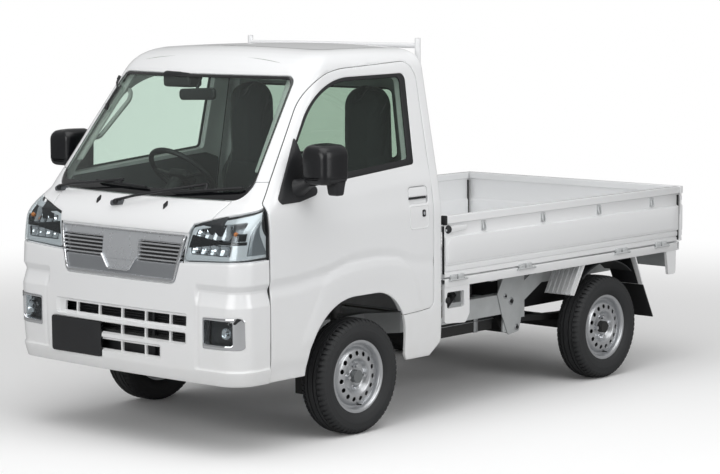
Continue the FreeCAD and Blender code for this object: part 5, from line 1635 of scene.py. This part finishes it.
def makeSideGate(sign, name):
    body = f"gate_{name.lower()}"

    def put(label, shape, material, angle=35, replaced=()):
        addPiece(label + name, *mirrored(shape, sign), material, body, angle, replaced)

    leaf = prism(gateProfile(), "y", bed["front"] + 2, bed["rear"] - 1, 1.0)
    put("sideGate", leaf, paint, 28, (body,))
    o, inner, front, rear = (bed[k] for k in ("outer", "inner", "front", "rear"))
    # pressed panel, its leading top corner cut off
    raised = prism(roundCorners([(front + 12, 724, 4), (front + 12, 812, 8),
        (front + 40, 846, 8), (rear - 14, 846, 8), (rear - 14, 724, 4)], 12), "x", o - 6,
        o + 0.6, 2.4)
    put("gatePanel", raised, paint, 30)
    cap = block((inner - 1, front - 1.5, bed["gateTop"] - 44),
        (o + 1.5, front + 12, bed["gateTop"] + 1), 5, 3)
    put("gateEndCap", cap, rubber)
    low = block((o - 24, front - 0.5, 672), (o - 12, front + 3, 900), 1.5)
    put("gateSeal", low, rubber)
    rearCap = block((inner + 1, rear - 6, 664), (o - 3, rear + 2.5, 904), 2)
    put("gateRearSeal", rearCap, rubber)
    z = bed["hookZ"]
    seat = block((o - 14, -17, z - 26), (o - 9.5, 17, z + 22), 1.5)
    boss = turned([(o - 11, 0.5), (o - 11, 6), (o - 6, 6), (o - 5, 4.5), (o - 5, 0.5)],
        "x", (0, -9, z + 11), 12)
    wire = tube(rounded([(o - 8, -10, z + 9), (o - 4, -12, z - 8), (o - 2.5, -9, z - 24),
        (o - 2.5, 9, z - 24), (o - 4, 12, z - 8), (o - 8, 10, z + 9)], 9), 3.2, 8)
    unit = joinShapes(seat, boss, moved(boss, (0, 18, 0)), wire)
    hooks = repeated(unit, paint, repeatAlong, bed["hooks"], (0, bed["hookStart"], 0),
        (0, bed["hookStep"], 0))
    put("ropeHooks", hooks, galvanised, 40)
    # latch: lever, its pivot and the striker behind it
    lever = prism(roundCorners([(-252, 872, 3), (-236, 868, 6), (-128, 876, 8),
        (-128, 898, 8), (-230, 902, 8), (-252, 893, 4)], 5), "x", o - 9, o - 1, 2.4)
    put("latchLever", lever, paint, 40)
    pivot = turned([(o - 13, 0.5), (o - 13, 20), (o - 9, 20), (o - 6, 17), (o - 1, 15),
        (o + 1, 11), (o + 1, 0.5)], "x", (0, -256, 884), 24)
    put("latchPivot", pivot, darkPlastic, 40)
    bolt = block((o - 13, -279, 876), (o - 4, -238, 886), 2)
    put("latchBolt", bolt, galvanised, 40)
    latch = joinShapes(block((inner - 9, front + 10, 868), (inner + 3, front + 62, 900),
        4), block((inner - 15, front + 20, 878), (inner - 6, front + 44, 892), 3))
    put("latchInner", latch, galvanised, 40)
    leaves = [block((o - 13, y + a, 643), (o + 3, y + b, 668), 3)
        for y in bed["hingeMiddles"] for a, b in ((-52, -8), (0, 44))]
    # the pins are black to stand partly for painted shade under and between the hinge
    # leaves
    pins = [tube([(o - 6, y - 56, 644), (o - 6, y + 50, 644)], 6, 12)
        for y in bed["hingeMiddles"]]
    bolts = [turned([(o + 2, 0.5), (o + 2, 5.5), (o + 5, 5.5), (o + 6, 3), (o + 6, 0.5)],
        "x", (0, y + dy, 658), 6) for y in bed["hingeMiddles"] for dy in (-30, 22)]
    put("hingeLeaves", joinShapes(*leaves, *bolts), galvanised, 35)
    put("hingePinsAndShade", joinShapes(*pins), chassisBlack, 40)


def makeTailgate():
    shift = bed["rear"] + 6 - bed["inner"] + 1
    leaf = prism([(x + shift, z) for x, z in gateProfile()], "x", -736, 736, 1.0)
    addPiece("tailgateLeaf", *leaf, paint, "tailgate", 28, replaced=("tailgate",))
    rear = bed["outer"] + shift
    raised = prism(roundCorners([(-716, 724, 4), (-716, 846, 8), (716, 846, 8),
        (716, 724, 4)], 12), "y", rear - 6, rear + 0.6, 2.4)
    addPiece("tailgatePanel", *raised, paint, "tailgate", 30)
    z = bed["hookZ"]
    seat = block((-17, rear - 14, z - 26), (17, rear - 9.5, z + 22), 1.5)
    wire = tube(rounded([(-10, rear - 8, z + 9), (-12, rear - 4, z - 8),
        (-9, rear - 2.5, z - 24), (9, rear - 2.5, z - 24), (12, rear - 4, z - 8),
        (10, rear - 8, z + 9)], 9), 3.2, 8)
    hooks = repeated(joinShapes(seat, wire), galvanised, repeatAlong, 3, (-460, 0, 0),
        (460, 0, 0))
    addPiece("tailgateHooks", *hooks, galvanised, "tailgate", 40)
    levers = [block((x - 32, rear - 10, 872), (x + 32, rear - 1, 898), 4)
        for x in (700, -700)]
    addPiece("tailgateLatches", *joinShapes(*levers), galvanised, "tailgate", 40)


def makeBedFloor():
    # pressed ribs run the length of the floor
    front, rear, half = bed["front"], 1649.0, 703.0
    top, count = bed["floorTop"], bed["corrugations"]
    pitch = 2 * half / count
    outline = []
    for k in range(count):
        x = -half + k * pitch
        outline += [(x + 0.06 * pitch, top - 6.5), (x + 0.14 * pitch, top - 0.5),
            (x + 0.18 * pitch, top), (x + 0.82 * pitch, top),
            (x + 0.86 * pitch, top - 0.5), (x + 0.94 * pitch, top - 6.5)]
    section = [(-half, top - 6.5)] + outline + [(half, top - 6.5)]
    section += [(x, z - 3) for x, z in reversed(section)]
    plateShape = prism(section, "y", front + 31, rear, 0)
    addPiece("bedFloor", *plateShape, paint, angle=30, replaced=("bed_floor",))
    # side rail: a flange that turns under, and its lower lip
    rail = [(728, 649), (731, 647), (731, 612), (729, 608), (724, 607), (706, 607),
        (706, 611), (722, 611), (726, 614), (726, 645), (702, 645), (702, 649)]
    addPairs(("bedRail", prism(rail, "y", front + 1, rear - 3, 0.6), paint), angle=30)
    back = [(1670, 652), (1674, 648), (1674, 612), (1669, 607), (1650, 607), (1650, 611),
        (1666, 611), (1669, 615), (1669, 646), (1650, 648), (1650, 652)]
    addPiece("bedRearRail", *prism(back, "x", -724, 724, 0.6), paint, angle=30)


def makeFrontPanel():
    # head board: rolled top, two beads across, end flanges
    y = bed["front"]
    top = bed["gateTop"]
    profile = [(y + 2, 648), (y + 29, 648), (y + 29, 655), (y + 12, 662), (y + 10, 668),
        (y + 10, 775), (y + 14, 782), (y + 17, 788), (y + 17, 800), (y + 14, 806),
        (y + 10, 813), (y + 10, 900), (y + 13, 908), (y + 27, 912), (y + 29, 916),
        (y + 29, top - 4), (y + 26, top - 1), (y + 3, top - 1), (y, top - 4), (y, 652)]
    board = prism(profile, "x", -699, 699, 0.8)
    addPiece("headBoard", *board, paint, angle=28, replaced=("bed_front_panel",))


guard = {"y": -270, "half": 553, "top": 1780, "low": 950, "rail": 1744, "radius": 13.6}


def makeGuardFrame():
    y, half, top, low, railZ, r = guard.values()
    pipe = tube(rounded([(-half, y, low + 2), (-half, y, top - 1)], 1), r, 20)
    posts = joinShapes(pipe, flipX(pipe))
    cap = turned([(top - 3, 0.5), (top - 3, r - 0.5), (top - 1.2, r - 2), (top, 3),
        (top, 0.5)], "z", (half, y, 0), 20)
    rail = tube([(-half, y, railZ), (half, y, railZ)], r - 1.5, 20)
    hooks = [tube(rounded([(x, y + 8, 1566), (x, y + 16, 1562), (x, y + 16, 1545),
        (x, y + 8, 1541)], 5), 4, 8) for x in (half, -half)]
    feet = [block((x - 30, y - 15, low - 2), (x + 30, y + 15, low + 6), 2)
        for x in (half, -half)]
    addPiece("guardFrame", *joinShapes(posts, rail, cap, flipX(cap), *hooks, *feet),
        paint, angle=40, replaced=("guard_frame",))


# hot-dip zinc over pressed steel, then a thin white coat: pale, soft gloss
galvanised = surfaceFinish("zincPrimedSteel", "#D9DBDC", "#C4C7C8", 0.38, metallic=0.25,
    grain=1.2, bump=0.05, patch=30)
for gateSide in sideNames:
    makeSideGate(*gateSide)
makeTailgate()
makeBedFloor()
makeFrontPanel()
makeGuardFrame()
print("bed")


# cab interior

seat = {
    # front view of the left seat's back, x and z; middle of the cushion
    "backOutline": [(182, 742, 60), (168, 1120, 110), (252, 1215, 90),
                    (268, 1556, 100), (502, 1556, 100), (520, 1215, 90),
                    (572, 1120, 110), (572, 742, 60)],
    "cushion": [(112, -962, 60), (112, -512, 30), (578, -512, 30), (578, -962, 60)],
    "voxel": 6.0, "pressure": 4.0, "frames": 20, "cap": 24.0,
    "seamDepth": 5.0, "seamWidth": 5.0,
}


def puffed(shape, fixed):
    # remeshed, blown up as cloth and held within the cap of where it began
    pad = newObject("pad", *shape)
    remesh = pad.modifiers.new("remesh", "REMESH")
    remesh.mode = "VOXEL"
    remesh.voxel_size = seat["voxel"] * mm
    graph = bpy.context.evaluated_depsgraph_get()
    even = bpy.data.meshes.new_from_object(pad.evaluated_get(graph))
    pad.modifiers.clear()
    pad.data = even
    start = np.array([tuple(v.co) for v in even.vertices])
    group = pad.vertex_groups.new(name="held")
    held = np.nonzero(fixed(start / mm))[0]
    group.add([int(i) for i in held], 1.0, "REPLACE")
    cloth = pad.modifiers.new("cloth", "CLOTH")
    cloth.settings.use_pressure = True
    cloth.settings.uniform_pressure_force = seat["pressure"]
    cloth.settings.vertex_group_mass = "held"
    cloth.settings.effector_weights.gravity = 0
    cloth.point_cache.frame_end = seat["frames"]
    for step in range(1, seat["frames"] + 1):
        bpy.context.scene.frame_set(step)
    graph = bpy.context.evaluated_depsgraph_get()
    blown = pad.evaluated_get(graph).to_mesh()
    end = np.array([tuple(v.co) for v in blown.vertices])
    shift = end - start
    length = np.linalg.norm(shift, axis=1, keepdims=True)
    start = start + shift * np.minimum(1, seat["cap"] * mm / np.maximum(length, 1e-9))
    pad.modifiers.clear()
    bpy.context.scene.frame_set(1)
    shape = (start / mm, [tuple(p.vertices) for p in even.polygons])
    bpy.data.objects.remove(pad)
    return shape


def sewn(points, inward, distances):
    # seams pressed in, by the distances of each point from them
    pull = np.max([np.exp(-(d / seat["seamWidth"]) ** 2) for d in distances], 0)
    return points + inward * (pull * seat["seamDepth"])[:, None]


def addPad(name, shape, replaced):
    piece = addPiece(name, *shape, seatCloth, angle=180, replaced=replaced)
    soft = piece.modifiers.new("soft", "SUBSURF")
    soft.levels = soft.render_levels = 1


def makeSeats():
    cushion = prism(roundCorners(seat["cushion"], 14), "z", 712, 790, 22, 3)
    points, faces = puffed(cushion, lambda p: p[:, 2] < 722)
    x, y, z = points.T
    points = sewn(points, np.outer(np.clip((z - 770) / 15, 0, 1), (0, 0, -1)),
        [np.abs(np.abs(x - 345) - 150), np.abs(y + 610), np.abs(y + 860)])
    points[:, 2] = np.clip(points[:, 2], 703, 812)
    back = prism(roundCorners(seat["backOutline"], 14), "y", -500, -408, 26, 3)
    backPoints, backFaces = puffed(back, lambda p: p[:, 1] > -420)
    x, y, z = backPoints.T
    backPoints = sewn(backPoints, np.outer(np.clip((-470 - y) / 15, 0, 1), (0, 1, 0)),
        [np.where(z < 1150, np.abs(np.abs(x - 372) - 128), 99), np.abs(z - 1168),
        np.abs(z - 900)])
    lean = (backPoints[:, 2] - 700) / 870
    backPoints[:, 1] = np.clip(backPoints[:, 1] + 22 * lean - 6, -519, -356)
    recliner = prism(roundCorners([(-560, 716, 20), (-575, 790, 26), (-470, 850, 26),
        (-420, 760, 26), (-440, 712, 12)], 10), "x", 584, 596, 4)
    for side, name in sideNames:
        for label, shape, node in (("seatCushion", (points, faces), "seat_cushions"),
                ("seatBack", (backPoints, backFaces), "seat_backrests")):
            addPad(f"{label}{name}", mirrored(shape, side), leftOnly(side, node))
        addPiece(f"seatHinge{name}", *mirrored(recliner, side), greyPlastic)
    print("seats")


def makeDashboard():
    profile = roundCorners([(-1618, 1012, 10), (-1560, 1062, 40), (-1400, 1080, 40),
        (-1296, 1058, 40), (-1262, 1000, 30), (-1282, 930, 25), (-1250, 905, 20),
        (-1262, 820, 40), (-1330, 776, 20), (-1600, 790, 20)], 12)
    body = prism(profile, "x", -598, 598, 14, 3)
    hood = prism(roundCorners([(-1420, 1066, 8), (-1385, 1090, 20), (-1290, 1089, 22),
        (-1262, 1066, 8), (-1275, 1000, 12), (-1330, 1000, 8)], 8), "x", -530, -172, 22,
        3)
    addPiece("dashTop", *joinShapes(body, hood), darkPlastic, replaced=("dashboard",))
    dials = block((-498, -1262, 1004), (-204, -1256, 1062), 5)
    glove = block((168, -1268, 800), (562, -1244, 904), 10, 3)
    radio = block((-92, -1274, 936), (92, -1262, 1000), 4)
    addPiece("dashPanels", *joinShapes(dials, radio), glossPlastic)
    addPiece("gloveLid", *glove, greyPlastic)
    ventMiddles = (-566, -128, 128, 566)
    vents = [block((x - 30, -1276, 1008), (x + 30, -1262, 1048), 5) for x in ventMiddles]
    addPiece("ventFrames", *joinShapes(*vents), greyPlastic)
    slat = block((-25, -1263, -1.6), (25, -1258, 1.6), 0.6, 1)
    for k, x in enumerate(ventMiddles):
        slats = repeated(slat, darkPlastic, repeatAlong, 5, (x, 0, 1014), (0, 0, 7))
        addPiece(f"ventSlats{k + 1}", *slats, darkPlastic)
    knob = turned([(-1262, 0.5), (-1262, 15), (-1246, 13), (-1243, 10), (-1243, 0.5)],
        "y", (-56, 0, 870), 24)
    knobs = repeated(knob, greyPlastic, repeatAlong, 3, (0, 0, 0), (56, 0, 0))
    addPiece("heaterKnobs", *knobs, greyPlastic)


def makeSteeringWheel():
    low, high = (np.array(v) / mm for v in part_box("steering_wheel"))
    centre = (low + high) / 2
    radius = (high[0] - low[0]) / 2 - 13
    up = np.array([0, -math.sqrt(0.5), math.sqrt(0.5)])
    out = np.array([0, math.sqrt(0.5), math.sqrt(0.5)])
    side = np.array([1.0, 0, 0])

    def at(a, b, c=0):
        return centre + side * a + up * b + out * c

    ring = tube([at(*p) for p in ellipse(radius, radius, 72)], 12.5, 16, True)
    spokes = []
    for angle in (math.radians(8), math.radians(172), math.radians(270)):
        ends = [at(r * math.cos(angle), r * math.sin(angle), d) for r,
            d in ((30, -16), (90, -12), (radius, 0))]
        spokes.append(tube(rounded(ends, 40), section=[(-15, -5), (-9, -7), (9, -7),
            (15, -5), (15, 5), (9, 7), (-9, 7), (-15, 5)]))
    hub = lofted([[at(a * f, b * f - 6, d) for a, b in roundCorners([(-66, -52, 26),
        (-74, 44, 30), (74, 44, 30), (66, -52, 26)], 9)] for d,
        f in ((-38, 0.55), (-30, 0.9), (-8, 1.0), (2, 0.95), (6, 0.84))])
    addPiece("wheelRim", *joinShapes(ring, *spokes, hub), darkPlastic, "steering_wheel",
        40, replaced=("steering_wheel",))


def makeDoorInners(side, name):
    # pressed inner frame, and a moulded card with an arm rest below the glass
    rider = f"door_{name.lower()}"
    outer = shrunk(doorOutline, 16)
    # the frame starts behind the hinges, which swing clear of it
    outer = np.maximum(outer, (lead + 76, lines["lower"] + 14))
    keep = np.linalg.norm(outer - np.roll(outer, 1, 0), axis=1) > 1.0
    sidePatch(f"doorFrame{name}", side, outer[keep], 13, 29, paint, rider, 2.0,
        (shrunk(archOutline, -16), shrunk(paneOutline, -6)), (30, 30))
    card = roundCorners([(-1394, 690, 20), (-1394, 1090, 40), (-1360, 1150, 30),
        (-498, 1208, 20), (-400, 1180, 30), (-400, 560, 30), (-560, 560, 40),
        (-700, 700, 90), (-1080, 712, 150), (-1240, 690, 30)], 14)
    sidePatch(f"doorCard{name}", side, card, 43, 9, greyPlastic, rider, 4.0, (), (30, 30))
    rest = prism(roundCorners([(-1010, 900, 16), (-1010, 940, 14), (-560, 952, 14),
        (-560, 905, 16)], 10), "x", 596, 682, 12, 3)
    addPiece(f"armRest{name}", *mirrored(rest, side), darkPlastic, rider)


def makeCabTrim():
    back = truck["back"]
    wall = roundCorners(bothSides([(648, 702, 30), (660, 1010, 60), (612, 1186, 40)]), 20)
    addPiece("rearTrim", *prism(wall, "y", back - 38, back - 24, 4), greyTrim)
    upper = roundCorners(bothSides([(606, 1192, 20), (556, 1640, 60)]), 16)
    hole = roundCorners(bothSides([(486, 1204, 40), (446, 1546, 40)]), 12)
    addPiece("rearUpperTrim", *framed(upper, hole, back - 34, back - 22), greyTrim)
    across, along = 26, 20
    total = across * along
    grid = [(x, y) for y in np.linspace(-1085, -352, along)
        for x in np.linspace(-500, 500, across)]
    points = [(x, y, crown(x, y) - 46 - 22 * (x / 500) ** 4) for x, y in grid]
    points += [(x, y, z + 8) for x, y, z in points]
    faces = []
    for k in range(along - 1):
        for a in range(k * across, (k + 1) * across - 1):
            b = a + total
            faces.append((a, a + 1, a + across + 1, a + across))
            faces.append((b, b + across, b + across + 1, b + 1))
    rim = list(range(across)) + [across * (k + 1) - 1 for k in range(1, along)]
    rim += [total - 1 - i for i in range(1, across)]
    rim += [across * k for k in range(along - 2, 0, -1)]
    faces += [(a, b, b + total, a + total) for a, b in zip(rim, rim[-1:] + rim)]
    addPiece("headliner", *cleaned((points, faces)), paleTrim, angle=60)
    pillar = roundCorners([(-1392, 1232, 10), (-1090, 1640, 200), (-1010, 1668, 30),
        (-1060, 1690, 10), (-1180, 1640, 160), (-1440, 1250, 20)], 14)
    for side, name in sideNames:
        sidePatch(f"pillarTrim{name}", side, pillar, 26, 8, paleTrim, "chassis", 2.0)
    grip = tube(rounded([(-606, -1300, 1318), (-560, -1284, 1322), (-492, -1146, 1500),
        (-506, -1128, 1536), (-566, -1130, 1570)], 34), 10.5, 14)
    addPiece("grabHandle", *grip, paleTrim, angle=50)
    housing = block((-236, -1176, 1566), (-52, -1090, 1640), 16, 3)
    stem = tube([(-20, -1120, 1640), (0, -1180, 1560)], 7, 10)
    frameShape = prism(roundCorners([(-112, 1508, 20), (-118, 1560, 22), (118, 1572, 22),
        (114, 1516, 20)], 8), "y", -1196, -1176, 6, 3)
    addPiece("sensorHousing", *joinShapes(housing, stem, moved(frameShape, (10, 0, 0))),
        darkPlastic, angle=40)
    visor = [block((x - 165, -1128, 1610), (x + 165, -1000, 1632), 9, 3)
        for x in (320, -320)]
    addPiece("sunVisors", *joinShapes(*visor), paleTrim)
    print("cab trim")


def wovenCloth():
    # woven polyester: matt, near black, a rib of threads drawn 3 mm apart
    material, tree, place = newMaterial("wovenPolyester")
    ribs = addNode(tree, "ShaderNodeTexWave", {"bands_direction": "DIAGONAL"},
        Vector=place, Scale=1000 / 3.0 / 20, Distortion=0.6, Detail=2.0)
    fuzz = addNode(tree, "ShaderNodeTexNoise", Vector=place, Scale=1000 / 1.5, Detail=2.0)
    mix = addNode(tree, "ShaderNodeMix", {"data_type": "RGBA"},
        Factor=fuzz.outputs["Fac"], _6="#2B2D30", _7="#3A3D40")
    bumps = addNode(tree, "ShaderNodeBump", Height=ribs.outputs["Fac"], Strength=0.25,
        Distance=0.6 * mm)
    shader = addNode(tree, "ShaderNodeBsdfPrincipled", Base_Color=mix.outputs[2],
        Roughness=0.85, Normal=bumps.outputs["Normal"], Sheen_Weight=0.3,
        Sheen_Roughness=0.5)
    finishMaterial(tree, shader.outputs["BSDF"])
    return material


seatCloth = wovenCloth()
# hardboard with a grey film: matt, a faint grain
greyTrim = surfaceFinish("greyHardboard", "#8B918F", "#959B99", 0.75, grain=1.5, bump=0.1)
makeSeats()
makeDashboard()
makeSteeringWheel()
for doorSide in sideNames:
    makeDoorInners(*doorSide)
makeCabTrim()


# frame, guards and the parts kept from the frame model

under = {
    # side view, y and z, of the hanger plate that carries the leaf spring's eye
    "hanger": [(392, 486, 10), (440, 566, 30), (612, 604, 10), (604, 436, 60),
               (590, 368, 20), (566, 280, 17), (478, 270, 12), (430, 372, 30)],
    "hangerHoles": [(500, 440, 13), (545, 303, 10), (452, 470, 7)],
    "arch": (1027.0, 265.0, 344.0, 38.0),
}


def makeHangers():
    outline = roundCorners(under["hanger"], 8)
    plate = prism(outline, "x", 500.5, 507, 1.5)
    foot = prism(roundCorners([(440, 284, 10), (452, 400, 20), (590, 400, 20),
        (566, 284, 14)], 8), "x", 488, 500, 2)
    bolts, washers = [], []
    for y, z, r in under["hangerHoles"]:
        washers.append(turned([(506, 0.5), (506, r + 6), (508.5, r + 6), (509.5, r + 4),
            (509.5, 0.5)], "x", (0, y, z), 24))
        bolts.append(turned([(509, 0.5), (509, r * 0.8), (516, r * 0.8), (518, r * 0.5),
            (518, 0.5)], "x", (0, y, z), 6))
    addPairs(("springHanger", joinShapes(plate, foot), frameGrey),
        ("hangerWashers", joinShapes(*washers), zincSteel),
        ("hangerBolts", joinShapes(*bolts), chassisBlack))


def makeWheelGuards():
    middle, hub, reach, half = under["arch"]
    turns = np.radians(np.linspace(-half, half, 19))
    arc = [(middle + r * math.sin(a), hub + r * math.cos(a)) for r,
        run in ((reach, turns), (reach + 4, turns[::-1])) for a in run]
    liner = prism(arc, "x", 548, 718, 0.8)
    hem = tube([(718, y, z) for y, z in arc[:19]], 4, 8)
    bead = tube([(0, middle - 303.5, 466), (0, middle - 217, 606)], 5.5, 8)
    rear = prism([(middle + 222, 606), (middle + 297, 458), (middle + 301.5, 458),
        (middle + 226.5, 606)], "x", 548, 704, 0.8)
    stop = turned([(712, 0.5), (712, 15), (733, 15), (736, 12), (736, 0.5)], "x",
        (0, -264, 548), 24)
    beads = repeated(bead, galvanised, repeatAlong, 6, (566, 0, 0), (28, 0, 0))
    addPairs(("archLiner", joinShapes(liner, hem), darkPlastic),
        ("guardBeads", beads, galvanised), ("rearGuardSkin", rear, darkPlastic),
        ("bracketStop", stop, rubber))


def makeTankDetails():
    low, high = (np.array(v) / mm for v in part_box("fuel_tank"))
    straps = [block((low[0] - 2, y, low[2] - 3), (high[0] + 3, y + 34, high[2] - 6), 3)
        for y in (low[1] + 110, high[1] - 144)]
    seam = block((low[0] - 8, low[1] - 8, low[2] + 52),
        (high[0] + 8, high[1] + 8, low[2] + 56), 1.5)
    neck = tube(rounded([(high[0] - 30, low[1] + 60, low[2] + 84),
        (high[0] + 60, low[1] + 60, low[2] + 110),
        (high[0] + 180, low[1] + 40, low[2] + 250)], 60), 17, 16)
    addPiece("tankStraps", *joinShapes(*straps, seam), zincSteel)
    addPiece("fillerNeck", *neck, rubber)


def makeUnderBed():
    # spare wheel hung flat under the floor, the intake's air cleaner, and a black sheet
    # of painted shade under the bed
    spot = (140, 690, 0)
    tyre = [(544, 158), (552, 172), (560, 205), (558, 238), (547, 256), (535, 261),
        (461, 261), (449, 256), (438, 238), (436, 205), (444, 172), (452, 158)]
    disc = [(470, 0.5), (470, 52), (462, 64), (462, 120), (452, 132), (444, 158),
        (448, 161), (548, 161), (552, 158), (538, 140), (530, 120), (478, 112),
        (478, 0.5)]
    addPiece("spareTyre", *turned([(448, 154)] + tyre[::-1] + [(548, 154)], "z", spot,
        72), tyreRubber, angle=50)
    addPiece("spareWheel", *turned(disc, "z", spot, 48), wheelSilver, angle=40)
    low, high = (192, -44, 452), (430, 300, 602)
    case = [block(low, (high[0], high[1], 556), 26, 3),
        block((low[0] + 6, low[1] + 6, 566), (high[0] - 6, high[1] - 6, high[2]), 18, 3),
        block((low[0] - 7, low[1] - 7, 553), (high[0] + 7, high[1] + 7, 569), 5, 3)]
    clips = [block((high[0] + 4, y, 540), (high[0] + 12, y + 20, 584), 2.5)
        for y in (30, 210)]
    hose = tube(rounded([(300, 290, 520), (300, 372, 520), (250, 420, 500),
        (70, 424, 470), (30, 380, 440)], 50), 40, 20)
    addPiece("airCleaner", *joinShapes(*case), darkPlastic, angle=40)
    addPiece("airCleanerClips", *joinShapes(*clips), zincSteel)
    addPiece("airHose", *hose, rubber, angle=50)
    # a black sheet standing for the shade under the bed: painted shade
    sheet = prism(roundCorners([(640, 372, 20), (660, 470, 60), (760, 596, 60),
        (1290, 596, 60), (1340, 372, 20)], 10), "x", 402, 405, 0.8)
    addPairs(("underBedShadeSheet", sheet, rubber))


# electrodeposited primer over steel: pale grey, dull, unevenly dusted
frameGrey = surfaceFinish("greyFramePrimer", "#CDD0D1", "#B4B7B7", 0.5, grain=1.6,
    bump=0.08, patch=70)
# ribbed rubber mat: matt, worn a little paler
matRubber = surfaceFinish("floorMatRubber", "#2A2B2C", "#3A3B3B", 0.8, grain=2.5,
    bump=0.3, patch=120)
# aluminised exhaust steel: dull silver, browned by heat
exhaustSteel = surfaceFinish("aluminisedSteel", "#7E7A72", "#5F5850", 0.5, metallic=0.8,
    grain=1.5, bump=0.15, patch=60)
keptNodes = ((frameGrey, "frame_rails frame_crossmembers bed_bearers"),
    (paint, "bed_brackets front_frame door_hinges"), (galvanised, "gate_hinges"),
    (castGrey, "engine knuckle_left knuckle_right"),
    (chassisBlack, "rear_axle leaf_springs front_suspension fuel_tank"),
    (exhaustSteel, "muffler"), (rubber, "mud_flaps"), (matRubber, "cab_floor"),
    (darkPlastic, "radiator steering_column"),)
for finish, names in keptNodes:
    for node in names.split():
        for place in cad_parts[node].material_slots:
            place.material = finish
makeHangers()
makeWheelGuards()
makeTankDetails()
makeUnderBed()
print("frame parts")


# floor, light and camera

stage = {"floor": "#FCFCFC", "floorBounce": "#B4B4B4", "worldLight": 0.46, "key": 235.0,
         "sideFill": 135.0, "frontFill": 150.0, "floorHalf": 40.0}


def makeWorld():
    world = bpy.data.worlds.new("studioWorld")
    bpy.context.scene.world = world
    world.use_nodes = True
    tree = world.node_tree
    tree.nodes.clear()
    place = addNode(tree, "ShaderNodeTexCoord").outputs["Generated"]
    height = addNode(tree, "ShaderNodeSeparateXYZ", Vector=place).outputs["Z"]
    sky = addNode(tree, "ShaderNodeMapRange", Value=height, From_Min=-0.2, From_Max=0.9,
        To_Min=0.55, To_Max=1.0)
    soft = addNode(tree, "ShaderNodeBackground", Color=sky.outputs["Result"],
        Strength=stage["worldLight"])
    path = addNode(tree, "ShaderNodeLightPath")
    white = addNode(tree, "ShaderNodeBackground", Color="#FFFFFF", Strength=1.0)
    mixed = addNode(tree, "ShaderNodeMixShader", _0=path.outputs["Is Camera Ray"],
        _1=soft.outputs[0], _2=white.outputs[0])
    addNode(tree, "ShaderNodeOutputWorld", Surface=mixed.outputs[0])


def makeFloor():
    # a pale floor that keeps the shadow and melts into the background
    mesh = bpy.data.meshes.new("studioFloor")
    size = stage["floorHalf"]
    mesh.from_pydata([(-size, -size, 0), (size, -size, 0), (size, size, 0),
        (-size, size, 0)], [], [(0, 1, 2, 3)])
    material, tree, place = newMaterial("paleFloorPaint")
    far = addNode(tree, "ShaderNodeVectorMath", {"operation": "LENGTH"}, _0=place)
    fade = addNode(tree, "ShaderNodeMapRange", {"interpolation_type": "SMOOTHSTEP"},
        Value=far.outputs["Value"], From_Min=2.4, From_Max=7.0)
    path = addNode(tree, "ShaderNodeLightPath")
    tone = addNode(tree, "ShaderNodeMix", {"data_type": "RGBA"},
        Factor=path.outputs["Is Camera Ray"], _6=stage["floorBounce"], _7=stage["floor"])
    plain = addNode(tree, "ShaderNodeBsdfDiffuse", Color=tone.outputs[2])
    glow = addNode(tree, "ShaderNodeEmission", Color="#FFFFFF", Strength=1.0)
    shown = addNode(tree, "ShaderNodeMath", {"operation": "MULTIPLY"},
        _0=fade.outputs["Result"], _1=path.outputs["Is Camera Ray"])
    mixed = addNode(tree, "ShaderNodeMixShader", _0=shown.outputs[0], _1=plain.outputs[0],
        _2=glow.outputs[0])
    finishMaterial(tree, mixed.outputs[0])
    mesh.materials.append(material)
    floor = bpy.data.objects.new("studioFloor", mesh)
    bpy.context.scene.collection.objects.link(floor)


def makeLamp(name, place, target, size, power):
    light = bpy.data.lights.new(name, "AREA")
    light.shape, light.size, light.size_y = "RECTANGLE", size[0], size[1]
    light.energy = power
    lamp = bpy.data.objects.new(name, light)
    aim = Vector(target) - Vector(place)
    lamp.matrix_world = Matrix.Translation(place) @ aim.to_track_quat("-Z",
        "Y").to_matrix().to_4x4()
    bpy.context.scene.collection.objects.link(lamp)


def makeCamera():
    view = {"place": (7511.8, -8401.5, 2072.9), "azimuth": 42.04, "down": 6.58,
            "roll": -0.36, "lens": 113.29}
    turn, down, roll = (math.radians(view[k]) for k in ("azimuth", "down", "roll"))
    ahead = Vector((-math.sin(turn) * math.cos(down), math.cos(turn) * math.cos(down),
        -math.sin(down)))
    right = ahead.cross(Vector((0, 0, 1))).normalized()
    up = right.cross(ahead)
    right, up = (right * math.cos(roll) + up * math.sin(roll), up * math.cos(roll) - right
        * math.sin(roll))
    data = bpy.data.cameras.new("studioCamera")
    data.sensor_width, data.lens, data.clip_end = 36.0, view["lens"], 200.0
    camera = bpy.data.objects.new("studioCamera", data)
    matrix = Matrix((right, up, -ahead)).transposed().to_4x4()
    matrix.translation = Vector(view["place"]) * mm
    camera.matrix_world = matrix
    bpy.context.scene.collection.objects.link(camera)
    bpy.context.scene.camera = camera


makeWorld()
makeFloor()
makeLamp("overheadSoftbox", (1.5, -2.0, 6.5), (0, -0.2, 0.6), (7.0, 7.0), stage["key"])
makeLamp("sideSoftbox", (7.0, 0.4, 3.0), (0.2, 0.0, 0.7), (3.0, 5.0), stage["sideFill"])
makeLamp("frontSoftbox", (1.0, -8.0, 2.6), (0, -0.5, 0.9), (5.0, 3.0), stage["frontFill"])
makeCamera()
bpy.context.scene.view_settings.view_transform = "Standard"

print("scene ready")
